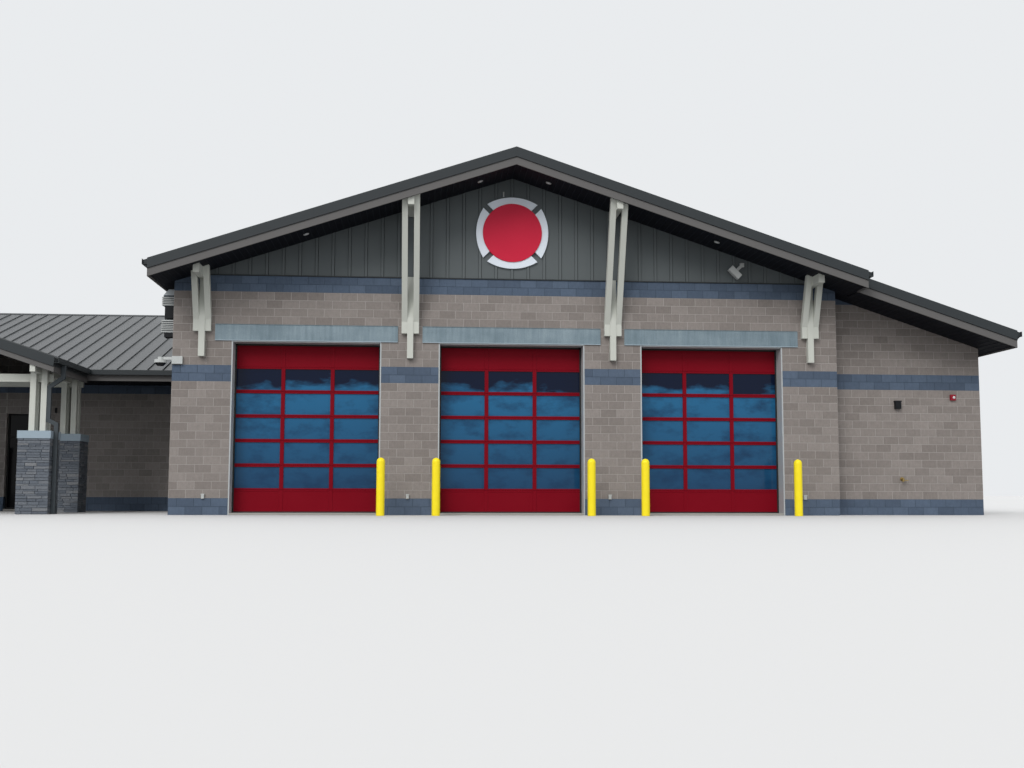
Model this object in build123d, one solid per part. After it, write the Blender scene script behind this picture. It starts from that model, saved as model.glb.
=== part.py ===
from build123d import *
import math
import os

# Fire station: a gabled apparatus hall with three bay doors, a lean-to wing on its right under the
# same slope, and a low wing on its left behind a covered walk, with an entrance porch.
# X runs along the front to the right, Y into the building, Z up. The origin is at ground level,
# on the outer face of the hall's front wall, straight below the ridge.

# Masonry module
course_height = 203.2
block_length = 406.4
wall_thick = 400.0
pitch = 1 / 3

# Hall
hall_blocks = 41
hall_blocks_back = 50
hall_courses = 29
gable_wall = 200.0
floor_thick = 50.0

# Bay doors
bay_spacing = 5080.0
bay_blocks = 9
bay_courses = 21
lintel_bearing = block_length
lintel_courses = 2
lintel_proud = 25.0
frame_thick = 30.0
frame_proud = 5.0
frame_back = 20.0
leaf_thick = 50.0
leaf_lap = 20.0
seat_gap = 0.3
leaf_sections = 7
section_seam = 0.5
mullion_width = 95.0
mullion_offset = 610.0
stile_width = 42.0
glass_height = 525.0
glass_thick = 6.0
glass_lap = 20.0

# Roof edge, measured straight down from the roof's top face
roof_thick = 230.0
soffit_drop = 400.0
soffit_thick = 20.0
fascia_depth = 195.0
low_fascia_depth = 140.0
fascia_thick = 40.0
fascia_inset = 25.0
trim_thick = 50.0
trim_proud = 10.0
gable_overhang = 1350.0
eave_overhang = 350.0
slot = 0.5
cap_half_width = 180.0
cap_thick = 15.0
gutter_width = 120.0
gutter_height = 130.0
gutter_sheet = 8.0
gutter_drop = 15.0

# Brackets on the four front piers
post_size = 150.0
post_bottom_courses = 19
brace_width = 140.0
brace_depth = 160.0
brace_foot = 620.0
brace_plumb = 290.0
brace_lean = 0.385
brace_set_back = 20.0
beam_depth = 200.0
outer_beam_reach = 1050.0
inner_beam_reach = 1300.0

# Sign
sign_clearance = 508.0
disc_radius = 746.0
disc_thick = 75.0
ring_width = 166.0
ring_corner_swell = 58.0
ring_thick = 55.0
ring_gap = 137.0

# Right wing
right_wing_blocks = 10
right_wing_set_back = 1.5 * block_length

# Left wing, whose front eave is carried out over a covered walk
left_wing_set_back = 15.5 * block_length
left_wing_blocks = 29
left_wing_blocks_back = 31.5
left_wing_courses = 19
left_wing_overhang = 700.0
walk_depth = 3000.0
low_soffit_drop = 152.5
low_board_height = 160.0

# Entrance in the left wing
entry_left = 14400.0
entry_blocks = 3
entry_courses = 14
screen_depth = 60.0
screen_bar = 50.0
screen_inset = 150.0
screen_rail_height = 2134.0

# Porch
porch_centre = -14200.0
porch_half_spacing = 2400.0
porch_eave_overhang = 520.0
porch_rake = 400.0
pier_front = 800.0
pier_size = 760.0
pier_spacing = 2500.0
cap_top = 2060.0
rear_cap_rise = 50.0
pier_cap_thick = 190.0
pier_cap_lap = 25.0
porch_post = 140.0
post_gap = 130.0
post_inset = 175.0
tie_depth = 200.0
tie_end = 110.0
tie_reveal = 12.5
rear_tie_rise = 100.0
downspout_width = 100.0
downspout_depth = 80.0
downspout_behind_post = 15.0
downspout_neck = 312.5
downspout_fall = 230.0
downspout_jog = 105.0
downspout_above_cap = 170.0

# Small fittings
downlight_radius = 70.0
downlight_depth = 15.0
downlight_reach = 700.0
downlight_inner = 850.0
outlet_width = 70.0
outlet_height = 110.0
outlet_depth = 50.0
outlet_level = 395.0
outlet_shifts = [112.0, -28.0, -85.0, -190.0]
flood_x = 5675.0
flood_rise = 250.0
flood_length = 340.0
flood_size = 150.0
flood_plate = 50.0
flood_clear = 20.0
flood_arm_length = 310.0
flood_arm_width = 70.0
flood_tilt = 45.0
wall_light_x = 10143.0
wall_light_z = 2854.0
wall_light_width = 150.0
wall_light_height = 200.0
wall_light_depth = 110.0
horn_x = 11648.0
horn_z = 3065.0
horn_width = 140.0
horn_height = 150.0
horn_depth = 60.0
hose_x = 10220.0
hose_z = 930.0
hose_radius = 25.0
hose_plate_radius = 50.0
hose_plate_thick = 12.0
hose_reach = 110.0
hose_drop = 70.0
hose_lever = 135.0
hose_lever_size = 20.0
lower_vent_bottom = 4355.0
lower_base_height = 115.0
lower_head_height = 315.0
vent_gap = 29.0
upper_base_height = 328.0
upper_head_height = 404.0
vent_from_corner = 200.0
vent_width = 300.0
vent_reach = 300.0
vent_slope = 140.0
vent_top_share = 0.6
vent_base_reach = 260.0
vent_base_slope = 20.0
camera_plate_width = 257.0
camera_plate_thick = 80.0
camera_plate_bottom = 3668.0
camera_plate_height = 188.0
camera_arm_size = 50.0
camera_arm_height = 65.0
camera_arm_reach = 270.0
camera_neck_radius = 70.0
camera_hood_radius = 150.0
camera_hood_height = 80.0
camera_hood_rise = 20.0
camera_dome_radius = 140.0
camera_dome_tip_radius = 80.0
camera_dome_height = 72.0
bollard_radius = 100.0
bollard_height = 1383.0
bollard_front = 800.0
bollard_from_pier = 660.0
bollard_at_end = 1915.0

hall_half = hall_blocks * block_length / 2
hall_depth = hall_blocks_back * block_length
masonry_top = hall_courses * course_height
bay_half = bay_blocks * block_length / 2
bay_height = bay_courses * course_height
lintel_top = bay_height + lintel_courses * course_height
ridge_top = masonry_top + hall_half * pitch + roof_thick
ring_radius = disc_radius + ring_width
ring_corner_radius = ring_radius + ring_corner_swell
sign_height = ridge_top - soffit_drop - sign_clearance - ring_radius
right_end = hall_half + right_wing_blocks * block_length
right_front = right_wing_set_back
right_rear = hall_depth - right_wing_set_back
left_end = -(hall_half + left_wing_blocks * block_length)
left_front = left_wing_set_back
left_rear = left_front + left_wing_blocks_back * block_length
left_top = left_wing_courses * course_height
left_eave = left_front - walk_depth
left_back_eave = left_rear + left_wing_overhang
left_ridge = (left_eave + left_back_eave) / 2
low_eave_top = left_top + roof_thick - left_wing_overhang * pitch
left_ridge_top = low_eave_top + (left_ridge - left_eave) * pitch
low_board_top = low_eave_top - gutter_drop - gutter_height
low_soffit_height = low_eave_top - low_soffit_drop
low_soffit_top = low_soffit_height + soffit_thick
soffit_inset = (low_soffit_top - low_eave_top + roof_thick) / pitch
left_rake = left_end - left_wing_overhang
left_meets_hall = -(ridge_top - left_ridge_top) / pitch
entry_west = -entry_left
entry_east = entry_west + entry_blocks * block_length
entry_height = entry_courses * course_height
bays = [-bay_spacing, 0.0, bay_spacing]
hall_eave = hall_half + eave_overhang
wing_eave = right_end + eave_overhang
porch_half_span = porch_half_spacing + porch_eave_overhang
tie_top = low_eave_top - roof_thick - low_fascia_depth + tie_reveal
post_bottom = post_bottom_courses * course_height
brace_bottom = post_bottom + brace_foot
flood_z = masonry_top + flood_rise
front_board = -gable_overhang - trim_thick + fascia_inset + fascia_thick
wing_front_board = right_front + front_board
wing_rear_board = right_rear - front_board
left_rake_board = left_rake - trim_thick + fascia_inset + fascia_thick
outer_pier_centre = (hall_half + bay_spacing + bay_half) / 2
inner_pier_centre = bay_spacing / 2
pier_centres = [-outer_pier_centre, -inner_pier_centre, inner_pier_centre, outer_pier_centre]
clusters = [porch_centre - porch_half_spacing, porch_centre + porch_half_spacing]
post_front = pier_front + post_inset
tie_front = post_front + porch_post
rear_post_back = tie_front + post_gap + porch_post + pier_spacing


def roof_z(x):
    return ridge_top - abs(x) * pitch


def left_roof_z(y):
    return left_ridge_top - abs(y - left_ridge) * pitch


porch_ridge_top = low_eave_top + porch_half_span * pitch
valley_end = left_eave + porch_half_span


def porch_roof_z(x):
    return porch_ridge_top - abs(x - porch_centre) * pitch


def slab(x0, x1, y0, y1, z0, z1):
    box = Box(x1 - x0, y1 - y0, z1 - z0, align=(Align.MIN, Align.MIN, Align.MIN))
    return Pos(x0, y0, z0) * box


def along_y(points, y0, y1):
    outline = Polyline(*[(x, y0, z) for x, z in points], close=True)
    return extrude(make_face(outline), amount=y1 - y0, dir=(0, 1, 0))


def along_x(points, x0, x1):
    outline = Polyline(*[(x0, y, z) for y, z in points], close=True)
    return extrude(make_face(outline), amount=x1 - x0, dir=(1, 0, 0))


def upright(points, z0, z1):
    outline = Polyline(*[(x, y, z0) for x, y in points], close=True)
    return extrude(make_face(outline), amount=z1 - z0, dir=(0, 0, 1))


def layer(height, x0, x1, top, bottom, y0, y1):
    # a strip that follows a slope across X, between two depths below the roof's top face
    points = [(x0, height(x0) - top), (x1, height(x1) - top)]
    points += [(x1, height(x1) - bottom), (x0, height(x0) - bottom)]
    return along_y(points, y0, y1)


def layer_x(height, y0, y1, top, bottom, x0, x1):
    # the same for a slope across Y
    points = [(y0, height(y0) - top), (y1, height(y1) - top)]
    points += [(y1, height(y1) - bottom), (y0, height(y0) - bottom)]
    return along_x(points, x0, x1)


def chevron(height, centre, half, top, bottom, y0, y1):
    # both slopes across X at once
    ends = (centre - half, centre, centre + half)
    points = [(x, height(x) - top) for x in ends] + [(x, height(x) - bottom) for x in reversed(ends)]
    return along_y(points, y0, y1)


def solids_of(shape):
    if isinstance(shape, (list, tuple)):
        return [s for piece in shape for s in solids_of(piece)]
    return list(shape.solids())


def save(node, shapes):
    pieces = solids_of(shapes)
    for piece in pieces:
        piece.label = node
    whole = pieces[0] if len(pieces) == 1 else Compound(children=pieces, label=node)
    export_step(whole, os.path.join("parts", node + ".step"))
    print(node, len(pieces))


def front_piers():
    # the lintels' ends bear on the piers, whose heads are narrower above the doors
    edges = [-hall_half] + [c + side * bay_half for c in bays for side in (-1, 1)] + [hall_half]
    pieces = []
    for left, right in zip(edges[0::2], edges[1::2]):
        head_left = left + lintel_bearing if left > -hall_half else left
        head_right = right - lintel_bearing if right < hall_half else right
        shaft = slab(left, right, 0, wall_thick, 0, bay_height)
        pieces.append(shaft + slab(head_left, head_right, 0, wall_thick, bay_height, lintel_top))
    return pieces


def lintels():
    half = bay_half + lintel_bearing
    return [slab(c - half, c + half, -lintel_proud, wall_thick, bay_height, lintel_top) for c in bays]


def hall_side_walls():
    def one(side):
        inner = hall_half - wall_thick
        points = [(inner, 0), (hall_half, 0), (hall_half, roof_z(hall_half) - roof_thick)]
        points += [(inner, roof_z(inner) - roof_thick)]
        return along_y([(side * x, z) for x, z in points], wall_thick, hall_depth - wall_thick)
    return [one(-1), one(1)]


def gable_walls():
    def hall_gable(y0):
        points = [(-hall_half, masonry_top), (hall_half, masonry_top), (0, ridge_top - roof_thick)]
        return along_y(points, y0, y0 + gable_wall)
    inner = (left_front + wall_thick, left_ridge, left_rear - wall_thick)
    wing = [(inner[0], left_top), (inner[2], left_top)]
    wing += [(y, left_roof_z(y) - roof_thick) for y in reversed(inner)]
    over_walk = [(left_eave + soffit_inset, low_soffit_top), (left_front, low_soffit_top)]
    over_walk.append((left_front, left_roof_z(left_front) - roof_thick))
    low_gables = [along_x(points, left_end, left_end + gable_wall) for points in (wing, over_walk)]
    return [hall_gable(0), hall_gable(hall_depth - gable_wall)] + low_gables


def hall_floor():
    inner = hall_half - wall_thick
    floor = slab(-inner, inner, wall_thick, hall_depth - wall_thick, 0, floor_thick)
    between = bay_half - frame_thick
    for c in bays:
        floor += slab(c - between, c + between, 0, wall_thick, 0, floor_thick)
        for left in (c - bay_half, c + bay_half - frame_thick):
            floor -= slab(left, left + frame_thick, wall_thick, wall_thick + frame_back, 0, floor_thick)
    return floor


def clear_of_left_wing(piece):
    # the low wing's roof passes through the hall's left eave on its way to the hall's slope
    points = [(left_eave, 0), (left_eave, left_roof_z(left_eave)), (left_ridge, left_ridge_top)]
    points += [(left_back_eave, left_roof_z(left_back_eave)), (left_back_eave, 0)]
    return piece - along_x(points, -hall_eave - gutter_width, -hall_half)


def hall_roof(side):
    y0, y1 = -gable_overhang, hall_depth + gable_overhang
    whole = layer(roof_z, 0, side * hall_eave, 0, roof_thick, y0, y1)
    return clear_of_left_wing(whole) if side < 0 else whole


def right_wing_roof():
    y0, y1 = right_front - gable_overhang, right_rear + gable_overhang
    return layer(roof_z, hall_eave, wing_eave, 0, roof_thick, y0, y1)


def above_hall_roof(piece):
    points = [(-hall_half, 0), (-hall_half, roof_z(hall_half)), (left_meets_hall, left_ridge_top)]
    points += [(left_meets_hall, 0)]
    return piece - along_y(points, 0, hall_depth)


def left_wing_roof():
    # the porch's slopes take the place of a triangle at the front, and the eave boards sit in rebates
    notch = [(porch_centre - porch_half_span, left_eave), (porch_centre + porch_half_span, left_eave)]
    notch.append((porch_centre, valley_end))
    x0, x1 = left_rake, left_meets_hall
    front = layer_x(left_roof_z, left_eave, left_ridge - slot / 2, 0, roof_thick, x0, x1)
    front -= upright(notch, 0, ridge_top)
    front -= slab(left_rake_board, -hall_half, left_eave, left_eave + fascia_thick, 0, low_board_top)
    rear = layer_x(left_roof_z, left_ridge + slot / 2, left_back_eave, 0, roof_thick, x0, x1)
    rear -= slab(left_rake_board, -hall_half, left_back_eave - fascia_thick, left_back_eave, 0, low_board_top)
    return [above_hall_roof(front), above_hall_roof(rear)]


def porch_roof():
    front = porch_rake + trim_thick
    pieces = []
    for side in (-1, 1):
        near, edge = porch_centre + side * slot / 2, porch_centre + side * porch_half_span
        slope = layer(porch_roof_z, near, edge, 0, roof_thick, front, valley_end)
        plan = [(porch_centre, front), (edge, front), (edge, left_eave), (porch_centre, valley_end)]
        pieces.append(slope & upright(plan, 0, ridge_top))
    return pieces


def ridge_caps():
    # two leaves over each ridge
    start, end = slot / 2, cap_half_width
    slope = [(left_eave, 0), (left_eave, left_roof_z(left_eave)), (left_ridge, left_ridge_top)]
    slope += [(left_ridge, 0)]
    wing_slope = along_x(slope, porch_centre - porch_half_span, porch_centre + porch_half_span)
    pieces = []
    for side in (-1, 1):
        y0, y1 = -gable_overhang, hall_depth + gable_overhang
        pieces.append(layer(roof_z, side * start, side * end, -cap_thick, 0, y0, y1))
        x0, x1 = porch_centre + side * start, porch_centre + side * end
        porch = layer(porch_roof_z, x0, x1, -cap_thick, 0, porch_rake + trim_thick, left_ridge)
        pieces.append(porch - wing_slope)
        y0, y1 = sorted((left_ridge + side * start, left_ridge + side * end))
        wing = layer_x(left_roof_z, y0, y1, -cap_thick, 0, left_rake, left_meets_hall - cap_half_width)
        pieces.append(above_hall_roof(wing))
    return pieces


def rake_trims():
    # two lengths on each gable, which meet at the apex
    top, bottom = -trim_proud, roof_thick
    pieces = []
    for y in (-gable_overhang - trim_thick, hall_depth + gable_overhang):
        for side in (-1, 1):
            x0, x1 = side * slot / 2, side * hall_eave
            pieces.append(layer(roof_z, x0, x1, top, bottom, y, y + trim_thick))
    for y in (right_front - gable_overhang - trim_thick, right_rear + gable_overhang):
        pieces.append(layer(roof_z, hall_eave + slot, wing_eave, top, bottom, y, y + trim_thick))
    for side in (-1, 1):
        x0, x1 = porch_centre + side * slot / 2, porch_centre + side * porch_half_span
        pieces.append(layer(porch_roof_z, x0, x1, top, bottom, porch_rake, porch_rake + trim_thick))
    for y0, y1 in ((left_eave, left_ridge - slot / 2), (left_ridge + slot / 2, left_back_eave)):
        pieces.append(layer_x(left_roof_z, y0, y1, top, bottom, left_rake - trim_thick, left_rake))
    return pieces


def rake_fascias():
    bottom = roof_thick + fascia_depth
    low_bottom = roof_thick + low_fascia_depth
    pieces = []
    front = -gable_overhang - trim_thick + fascia_inset
    rear = hall_depth - front - fascia_thick
    for y in (front, rear):
        for side in (-1, 1):
            x0, x1 = side * slot / 2, side * hall_eave
            pieces.append(layer(roof_z, x0, x1, roof_thick, bottom, y, y + fascia_thick))
    front = right_front + front
    rear = right_rear + gable_overhang + trim_thick - fascia_inset - fascia_thick
    for y in (front, rear):
        x0 = hall_eave + slot
        pieces.append(layer(roof_z, x0, wing_eave, roof_thick, bottom, y, y + fascia_thick))
    y = porch_rake + fascia_inset
    for side in (-1, 1):
        x0, x1 = porch_centre + side * slot / 2, porch_centre + side * porch_half_span
        pieces.append(layer(porch_roof_z, x0, x1, roof_thick, low_bottom, y, y + fascia_thick))
    x = left_rake - trim_thick + fascia_inset
    for y0, y1 in ((left_eave, left_ridge - slot / 2), (left_ridge + slot / 2, left_back_eave)):
        pieces.append(layer_x(left_roof_z, y0, y1, roof_thick, low_bottom, x, x + fascia_thick))
    return pieces


def eave_board(height, edge, side, depth, y0, y1):
    inner = edge - side * fascia_thick
    low = height(edge) - roof_thick - depth
    points = [(inner, height(inner) - roof_thick), (edge, height(edge) - roof_thick)]
    return along_y(points + [(edge, low), (inner, low)], y0, y1)


def eave_fascias():
    hall = eave_board(roof_z, -hall_eave, -1, fascia_depth, front_board, hall_depth - front_board)
    pieces = [clear_of_left_wing(hall)]
    for y0, y1 in ((front_board, wing_front_board), (wing_rear_board, hall_depth - front_board)):
        pieces.append(eave_board(roof_z, hall_eave, 1, fascia_depth, y0, y1))
    pieces.append(eave_board(roof_z, wing_eave, 1, fascia_depth, wing_front_board, wing_rear_board))
    for side in (-1, 1):
        edge = porch_centre + side * porch_half_span
        y0 = porch_rake + fascia_inset + fascia_thick
        pieces.append(eave_board(porch_roof_z, edge, side, low_fascia_depth, y0, left_eave))
    low = low_board_top - low_board_height

    def low_board(y, x0, x1):
        return slab(x0, x1, y, y + fascia_thick, low, low_board_top)
    pieces.append(low_board(left_eave, porch_centre + porch_half_span + slot, -hall_half))
    pieces.append(low_board(left_eave, left_rake_board, porch_centre - porch_half_span - slot))
    pieces.append(low_board(left_back_eave - fascia_thick, left_rake_board, -hall_half))
    return pieces


def gable_soffits():
    top = soffit_drop - soffit_thick
    pieces = []
    for y0, y1 in ((front_board, 0), (hall_depth, hall_depth - front_board)):
        for side in (-1, 1):
            x0, x1 = side * slot / 2, side * (hall_eave - fascia_thick)
            pieces.append(layer(roof_z, x0, x1, top, soffit_drop, y0, y1))
    return pieces


def eave_soffits():
    top = soffit_drop - soffit_thick
    hall = layer(roof_z, -hall_half, -hall_eave + fascia_thick, top, soffit_drop, 0, hall_depth)
    x0, x1 = right_end, wing_eave - fascia_thick
    wing = layer(roof_z, x0, x1, top, soffit_drop, right_front, right_rear)
    return [clear_of_left_wing(hall), wing]


def wing_soffits():
    top = soffit_drop - soffit_thick
    inner, outer = hall_eave, wing_eave - fascia_thick
    pieces = []
    front = (0, wing_front_board, right_front)
    rear = (hall_depth, wing_rear_board, right_rear)
    for base, board, wall_face in (front, rear):
        plan = [(hall_half, base), (inner, base), (inner, board), (outer, board)]
        plan += [(outer, wall_face), (hall_half, wall_face)]
        y0, y1 = sorted((board, wall_face))
        strip = layer(roof_z, hall_half, outer, top, soffit_drop, min(y0, base), max(y1, base))
        pieces.append(strip & upright(plan, 0, ridge_top))
    # the walk's ceiling starts behind the porch's rear posts
    inner = left_eave + soffit_inset
    west, east = porch_centre - porch_half_span, porch_centre + porch_half_span
    walk = [(left_end, inner), (west, inner), (west, rear_post_back + slot), (east, rear_post_back + slot)]
    walk += [(east, inner), (-hall_half, inner), (-hall_half, left_front), (left_end, left_front)]
    pieces.append(upright(walk, low_soffit_height, low_soffit_top))
    outer = left_back_eave - soffit_inset
    pieces.append(slab(left_end, -hall_half, left_rear, outer, low_soffit_height, low_soffit_top))
    return pieces


def gutter_sheet_at(part, top):
    # across the gutter, from the board outwards, and up
    w, h, t = gutter_width, gutter_height, gutter_sheet
    if part == "back":
        sheet = (0, t, top - h, top)
    elif part == "sole":
        sheet = (t, w - t, top - h, top - h + t)
    else:
        sheet = (w - t, w, top - h, top)
    a, b, low, high = sheet
    return [(a, low), (b, low), (b, high), (a, high)]


def gutters(part):
    front = -gable_overhang - trim_thick
    sheet = gutter_sheet_at(part, roof_z(hall_eave) - gutter_drop)
    hall = along_y([(-hall_eave - x, z) for x, z in sheet], front, hall_depth - front)
    pieces = [clear_of_left_wing(hall)]
    wing_face = right_front + front
    for y0, y1 in ((front, wing_face), (hall_depth - wing_face, hall_depth - front)):
        pieces.append(along_y([(hall_eave + x, z) for x, z in sheet], y0, y1))
    sheet = gutter_sheet_at(part, roof_z(wing_eave) - gutter_drop)
    pieces.append(along_y([(wing_eave + x, z) for x, z in sheet], wing_face, hall_depth - wing_face))
    sheet = gutter_sheet_at(part, low_eave_top - gutter_drop)
    for side in (-1, 1):
        edge = porch_centre + side * porch_half_span
        points = [(edge + side * x, z) for x, z in sheet]
        pieces.append(along_y(points, porch_rake, left_eave - gutter_width - slot))
    front = [(left_eave - y, z) for y, z in sheet]
    back = [(left_back_eave + y, z) for y, z in sheet]
    pieces.append(along_x(front, porch_centre + porch_half_span, -hall_half))
    pieces.append(along_x(front, left_rake - trim_thick, porch_centre - porch_half_span))
    pieces.append(along_x(back, left_rake - trim_thick, -hall_half))
    return pieces


def door_frames():
    pieces = []
    y0, y1 = -frame_proud, wall_thick + frame_back
    inner = bay_half - frame_thick
    for c in bays:
        whole = slab(c - bay_half, c + bay_half, y0, y1, 0, bay_height)
        pieces.append(whole - slab(c - inner, c + inner, y0, y1, 0, bay_height - frame_thick))
    return pieces


def bay_door(centre):
    y0 = wall_thick + frame_back + seat_gap
    y1 = y0 + leaf_thick
    half = bay_half + leaf_lap
    step = bay_height / leaf_sections
    columns = [(-bay_half + stile_width, -mullion_offset - mullion_width / 2)]
    columns += [(-mullion_offset + mullion_width / 2, mullion_offset - mullion_width / 2)]
    columns += [(mullion_offset + mullion_width / 2, bay_half - stile_width)]
    pieces = []
    for i in range(leaf_sections):
        low = floor_thick + seat_gap if i == 0 else i * step + section_seam / 2
        high = bay_height + leaf_lap if i == leaf_sections - 1 else (i + 1) * step - section_seam / 2
        section = slab(centre - half, centre + half, y0, y1, low, high)
        if 0 < i < leaf_sections - 1:
            base = i * step + (step - glass_height) / 2
            for left, right in columns:
                section -= slab(centre + left, centre + right, y0, y1, base, base + glass_height)
        pieces.append(section)
    return pieces


def bay_door_glass():
    y0 = wall_thick + frame_back + seat_gap + leaf_thick
    step = bay_height / leaf_sections
    low = step + (step - glass_height) / 2 - glass_lap
    high = (leaf_sections - 1) * step - (step - glass_height) / 2 + glass_lap
    half = bay_half - stile_width + glass_lap
    return [slab(c - half, c + half, y0, y0 + glass_thick, low, high) for c in bays]


def soffit_z(x):
    return roof_z(x) - soffit_drop


def bracket_posts():
    half = post_size / 2
    pieces = []
    for x in pier_centres:
        top = min(soffit_z(x) - beam_depth, masonry_top)
        pieces.append(slab(x - half, x + half, -post_size, 0, post_bottom, top))
    return pieces


def bracket_beams():
    half = post_size / 2
    pieces = []
    for x in pier_centres:
        reach = outer_beam_reach if abs(x) > bay_spacing else inner_beam_reach
        low = soffit_z(x) - beam_depth
        points = [(x - half, low), (x + half, low)]
        points += [(x + half, soffit_z(x + half)), (x - half, soffit_z(x - half))]
        pieces.append(along_y(points, -reach, 0))
    return pieces


def bracket_braces():
    pieces = []
    top = brace_bottom + brace_plumb
    face = brace_set_back - post_size
    for x in pier_centres:
        for side in (-1, 1):
            x0 = x + side * post_size / 2
            x1 = x0 + side * brace_width
            rise = soffit_z(x) + brace_width - top
            heel = top + (face + brace_depth) / brace_lean
            front = face - brace_lean * rise
            points = [(0, brace_bottom), (face, brace_bottom), (face, top)]
            points += [(front, top + rise), (front + brace_depth, top + rise), (0, heel)]
            brace = along_x(points, min(x0, x1), max(x0, x1))
            below_soffit = layer(roof_z, x0, x1, soffit_drop, ridge_top, front, 0)
            pieces.append(brace & below_soffit)
    return pieces


def sign_disc():
    return Pos(0, 0, sign_height) * Rot(90, 0, 0) * extrude(Circle(disc_radius), amount=disc_thick)


def sign_ring():
    inner = disc_radius + seat_gap
    half_turn = math.pi / 4
    outer_turn = half_turn - math.asin(ring_gap / 2 / ring_corner_radius)
    inner_turn = half_turn - math.asin(ring_gap / 2 / inner)

    def at(radius, turn):
        return (radius * math.cos(turn), radius * math.sin(turn))
    corners = [at(ring_corner_radius, turn) for turn in (-outer_turn, outer_turn)]
    edge = ThreePointArc(corners[0], (ring_radius, 0), corners[1])
    heels = [at(inner, turn) for turn in (-inner_turn, inner_turn)]
    bore = ThreePointArc(heels[0], (inner, 0), heels[1])
    ends = [Line(heel, corner) for heel, corner in zip(heels, corners)]
    arc = extrude(make_face([edge, bore] + ends), amount=ring_thick)
    return [Pos(0, 0, sign_height) * Rot(90, 0, 0) * Rot(0, 0, 90 * i) * arc for i in range(4)]


def soffit_downlights():
    tilt = math.degrees(math.atan(pitch))
    pieces = []
    for x in (-bay_spacing, -downlight_inner, downlight_inner, bay_spacing):
        turn = tilt if x > 0 else -tilt
        disc = Cylinder(downlight_radius, downlight_depth, align=(Align.CENTER, Align.CENTER, Align.MAX))
        pieces.append(Pos(x, -downlight_reach, soffit_z(x)) * Rot(0, turn, 0) * disc)
    return pieces


def gable_floodlight():
    # the plate stands up to the right of the head, at the far end of the slanting arm
    x, z = flood_x, flood_z
    head = Pos(x, -flood_size, z) * Rot(0, flood_tilt, 0) * Box(flood_length, flood_size, flood_size)
    head -= slab(x - flood_length, x + flood_length, -flood_clear, flood_size, 0, ridge_top)
    across = flood_arm_length * math.cos(math.radians(flood_tilt))
    up = flood_arm_length * math.sin(math.radians(flood_tilt))
    arm = Box(flood_arm_length, flood_arm_width, flood_arm_width)
    arm = Pos(x + across / 2, -flood_size / 2, z + up / 2) * Rot(0, -flood_tilt, 0) * arm
    x, z = x + across, z + up
    plate = slab(x - flood_plate, x + flood_plate, -flood_size / 2, 0, z - flood_plate, z + flood_plate)
    return plate + arm + head


def pier_outlets():
    w = outlet_width / 2
    high = outlet_level + outlet_height
    places = [x + shift for x, shift in zip(pier_centres, outlet_shifts)]
    return [slab(x - w, x + w, -outlet_depth, 0, outlet_level, high) for x in places]


def wall_box(x, z, width, height, depth):
    y0, y1 = right_front - depth, right_front
    return slab(x - width / 2, x + width / 2, y0, y1, z - height / 2, z + height / 2)


def wing_wall_light():
    x, z = wall_light_x, wall_light_z
    return wall_box(x, z, wall_light_width, wall_light_height, wall_light_depth)


def hose_bibb():
    base = Pos(hose_x, right_front, hose_z)
    back = (Align.CENTER, Align.CENTER, Align.MIN)
    plate = base * Rot(90, 0, 0) * Cylinder(hose_plate_radius, hose_plate_thick, align=back)
    barrel = base * Rot(90, 0, 0) * Cylinder(hose_radius, hose_reach, align=back)
    spout = Pos(hose_x, right_front - hose_reach + hose_radius, hose_z - hose_drop)
    spout = spout * Cylinder(hose_radius, hose_drop + hose_radius, align=back)
    front = right_front - hose_reach
    z = hose_z - hose_drop + hose_radius
    lever = slab(hose_x, hose_x + hose_lever, front, front + hose_lever_size, z, z + hose_lever_size)
    return plate + barrel + spout + lever


def vents_at(places, reach):
    face = -hall_half
    y0 = vent_from_corner
    return [along_y([(face - u * reach, z) for u, z in points], y0, y0 + vent_width) for points in places]


def vent_levels():
    # one stack over the other: each has its foot, the joint of base and head, and its top
    lower_joint = lower_vent_bottom + lower_base_height
    lower_top = lower_joint + lower_head_height
    upper_bottom = lower_top + vent_gap
    upper_joint = upper_bottom + upper_base_height
    lower = (lower_vent_bottom, lower_joint, lower_top)
    return lower, (upper_bottom, upper_joint, upper_joint + upper_head_height)


def side_wall_vents():
    places = []
    for slope, (_, low, high) in zip((0, vent_slope), vent_levels()):
        places.append([(0, low), (1, low), (1, high - slope), (vent_top_share, high), (0, high)])
    return vents_at(places, vent_reach)


def side_wall_vent_bases():
    places = []
    for low, high, _ in vent_levels():
        places.append([(0, low + vent_base_slope), (1, low), (1, high), (0, high)])
    return vents_at(places, vent_base_reach)


def corner_camera():
    # a box on the front wall's left corner, with an arm that carries the hood out past the corner
    x0, y0 = -hall_half, -camera_plate_thick
    z1 = camera_plate_bottom + camera_plate_height
    piece = slab(x0, x0 + camera_plate_width, y0, 0, camera_plate_bottom, z1)
    x, y, z = x0 - camera_arm_reach, y0 / 2, camera_plate_bottom + camera_hood_rise
    foot = (Align.CENTER, Align.CENTER, Align.MIN)
    top = z + camera_hood_height
    half = camera_arm_size / 2
    piece += slab(x, x0, y - half, y + half, top, top + camera_arm_height)
    piece += Pos(x, y, top) * Cylinder(camera_neck_radius, camera_arm_height, align=foot)
    piece += Pos(x, y, z) * Cylinder(camera_hood_radius, camera_hood_height, align=foot)
    return piece


def corner_camera_dome():
    z = camera_plate_bottom + camera_hood_rise
    x, y = -hall_half - camera_arm_reach, -camera_plate_thick / 2
    down = (Align.CENTER, Align.CENTER, Align.MAX)
    return Pos(x, y, z) * Cone(camera_dome_tip_radius, camera_dome_radius, camera_dome_height, align=down)


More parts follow.
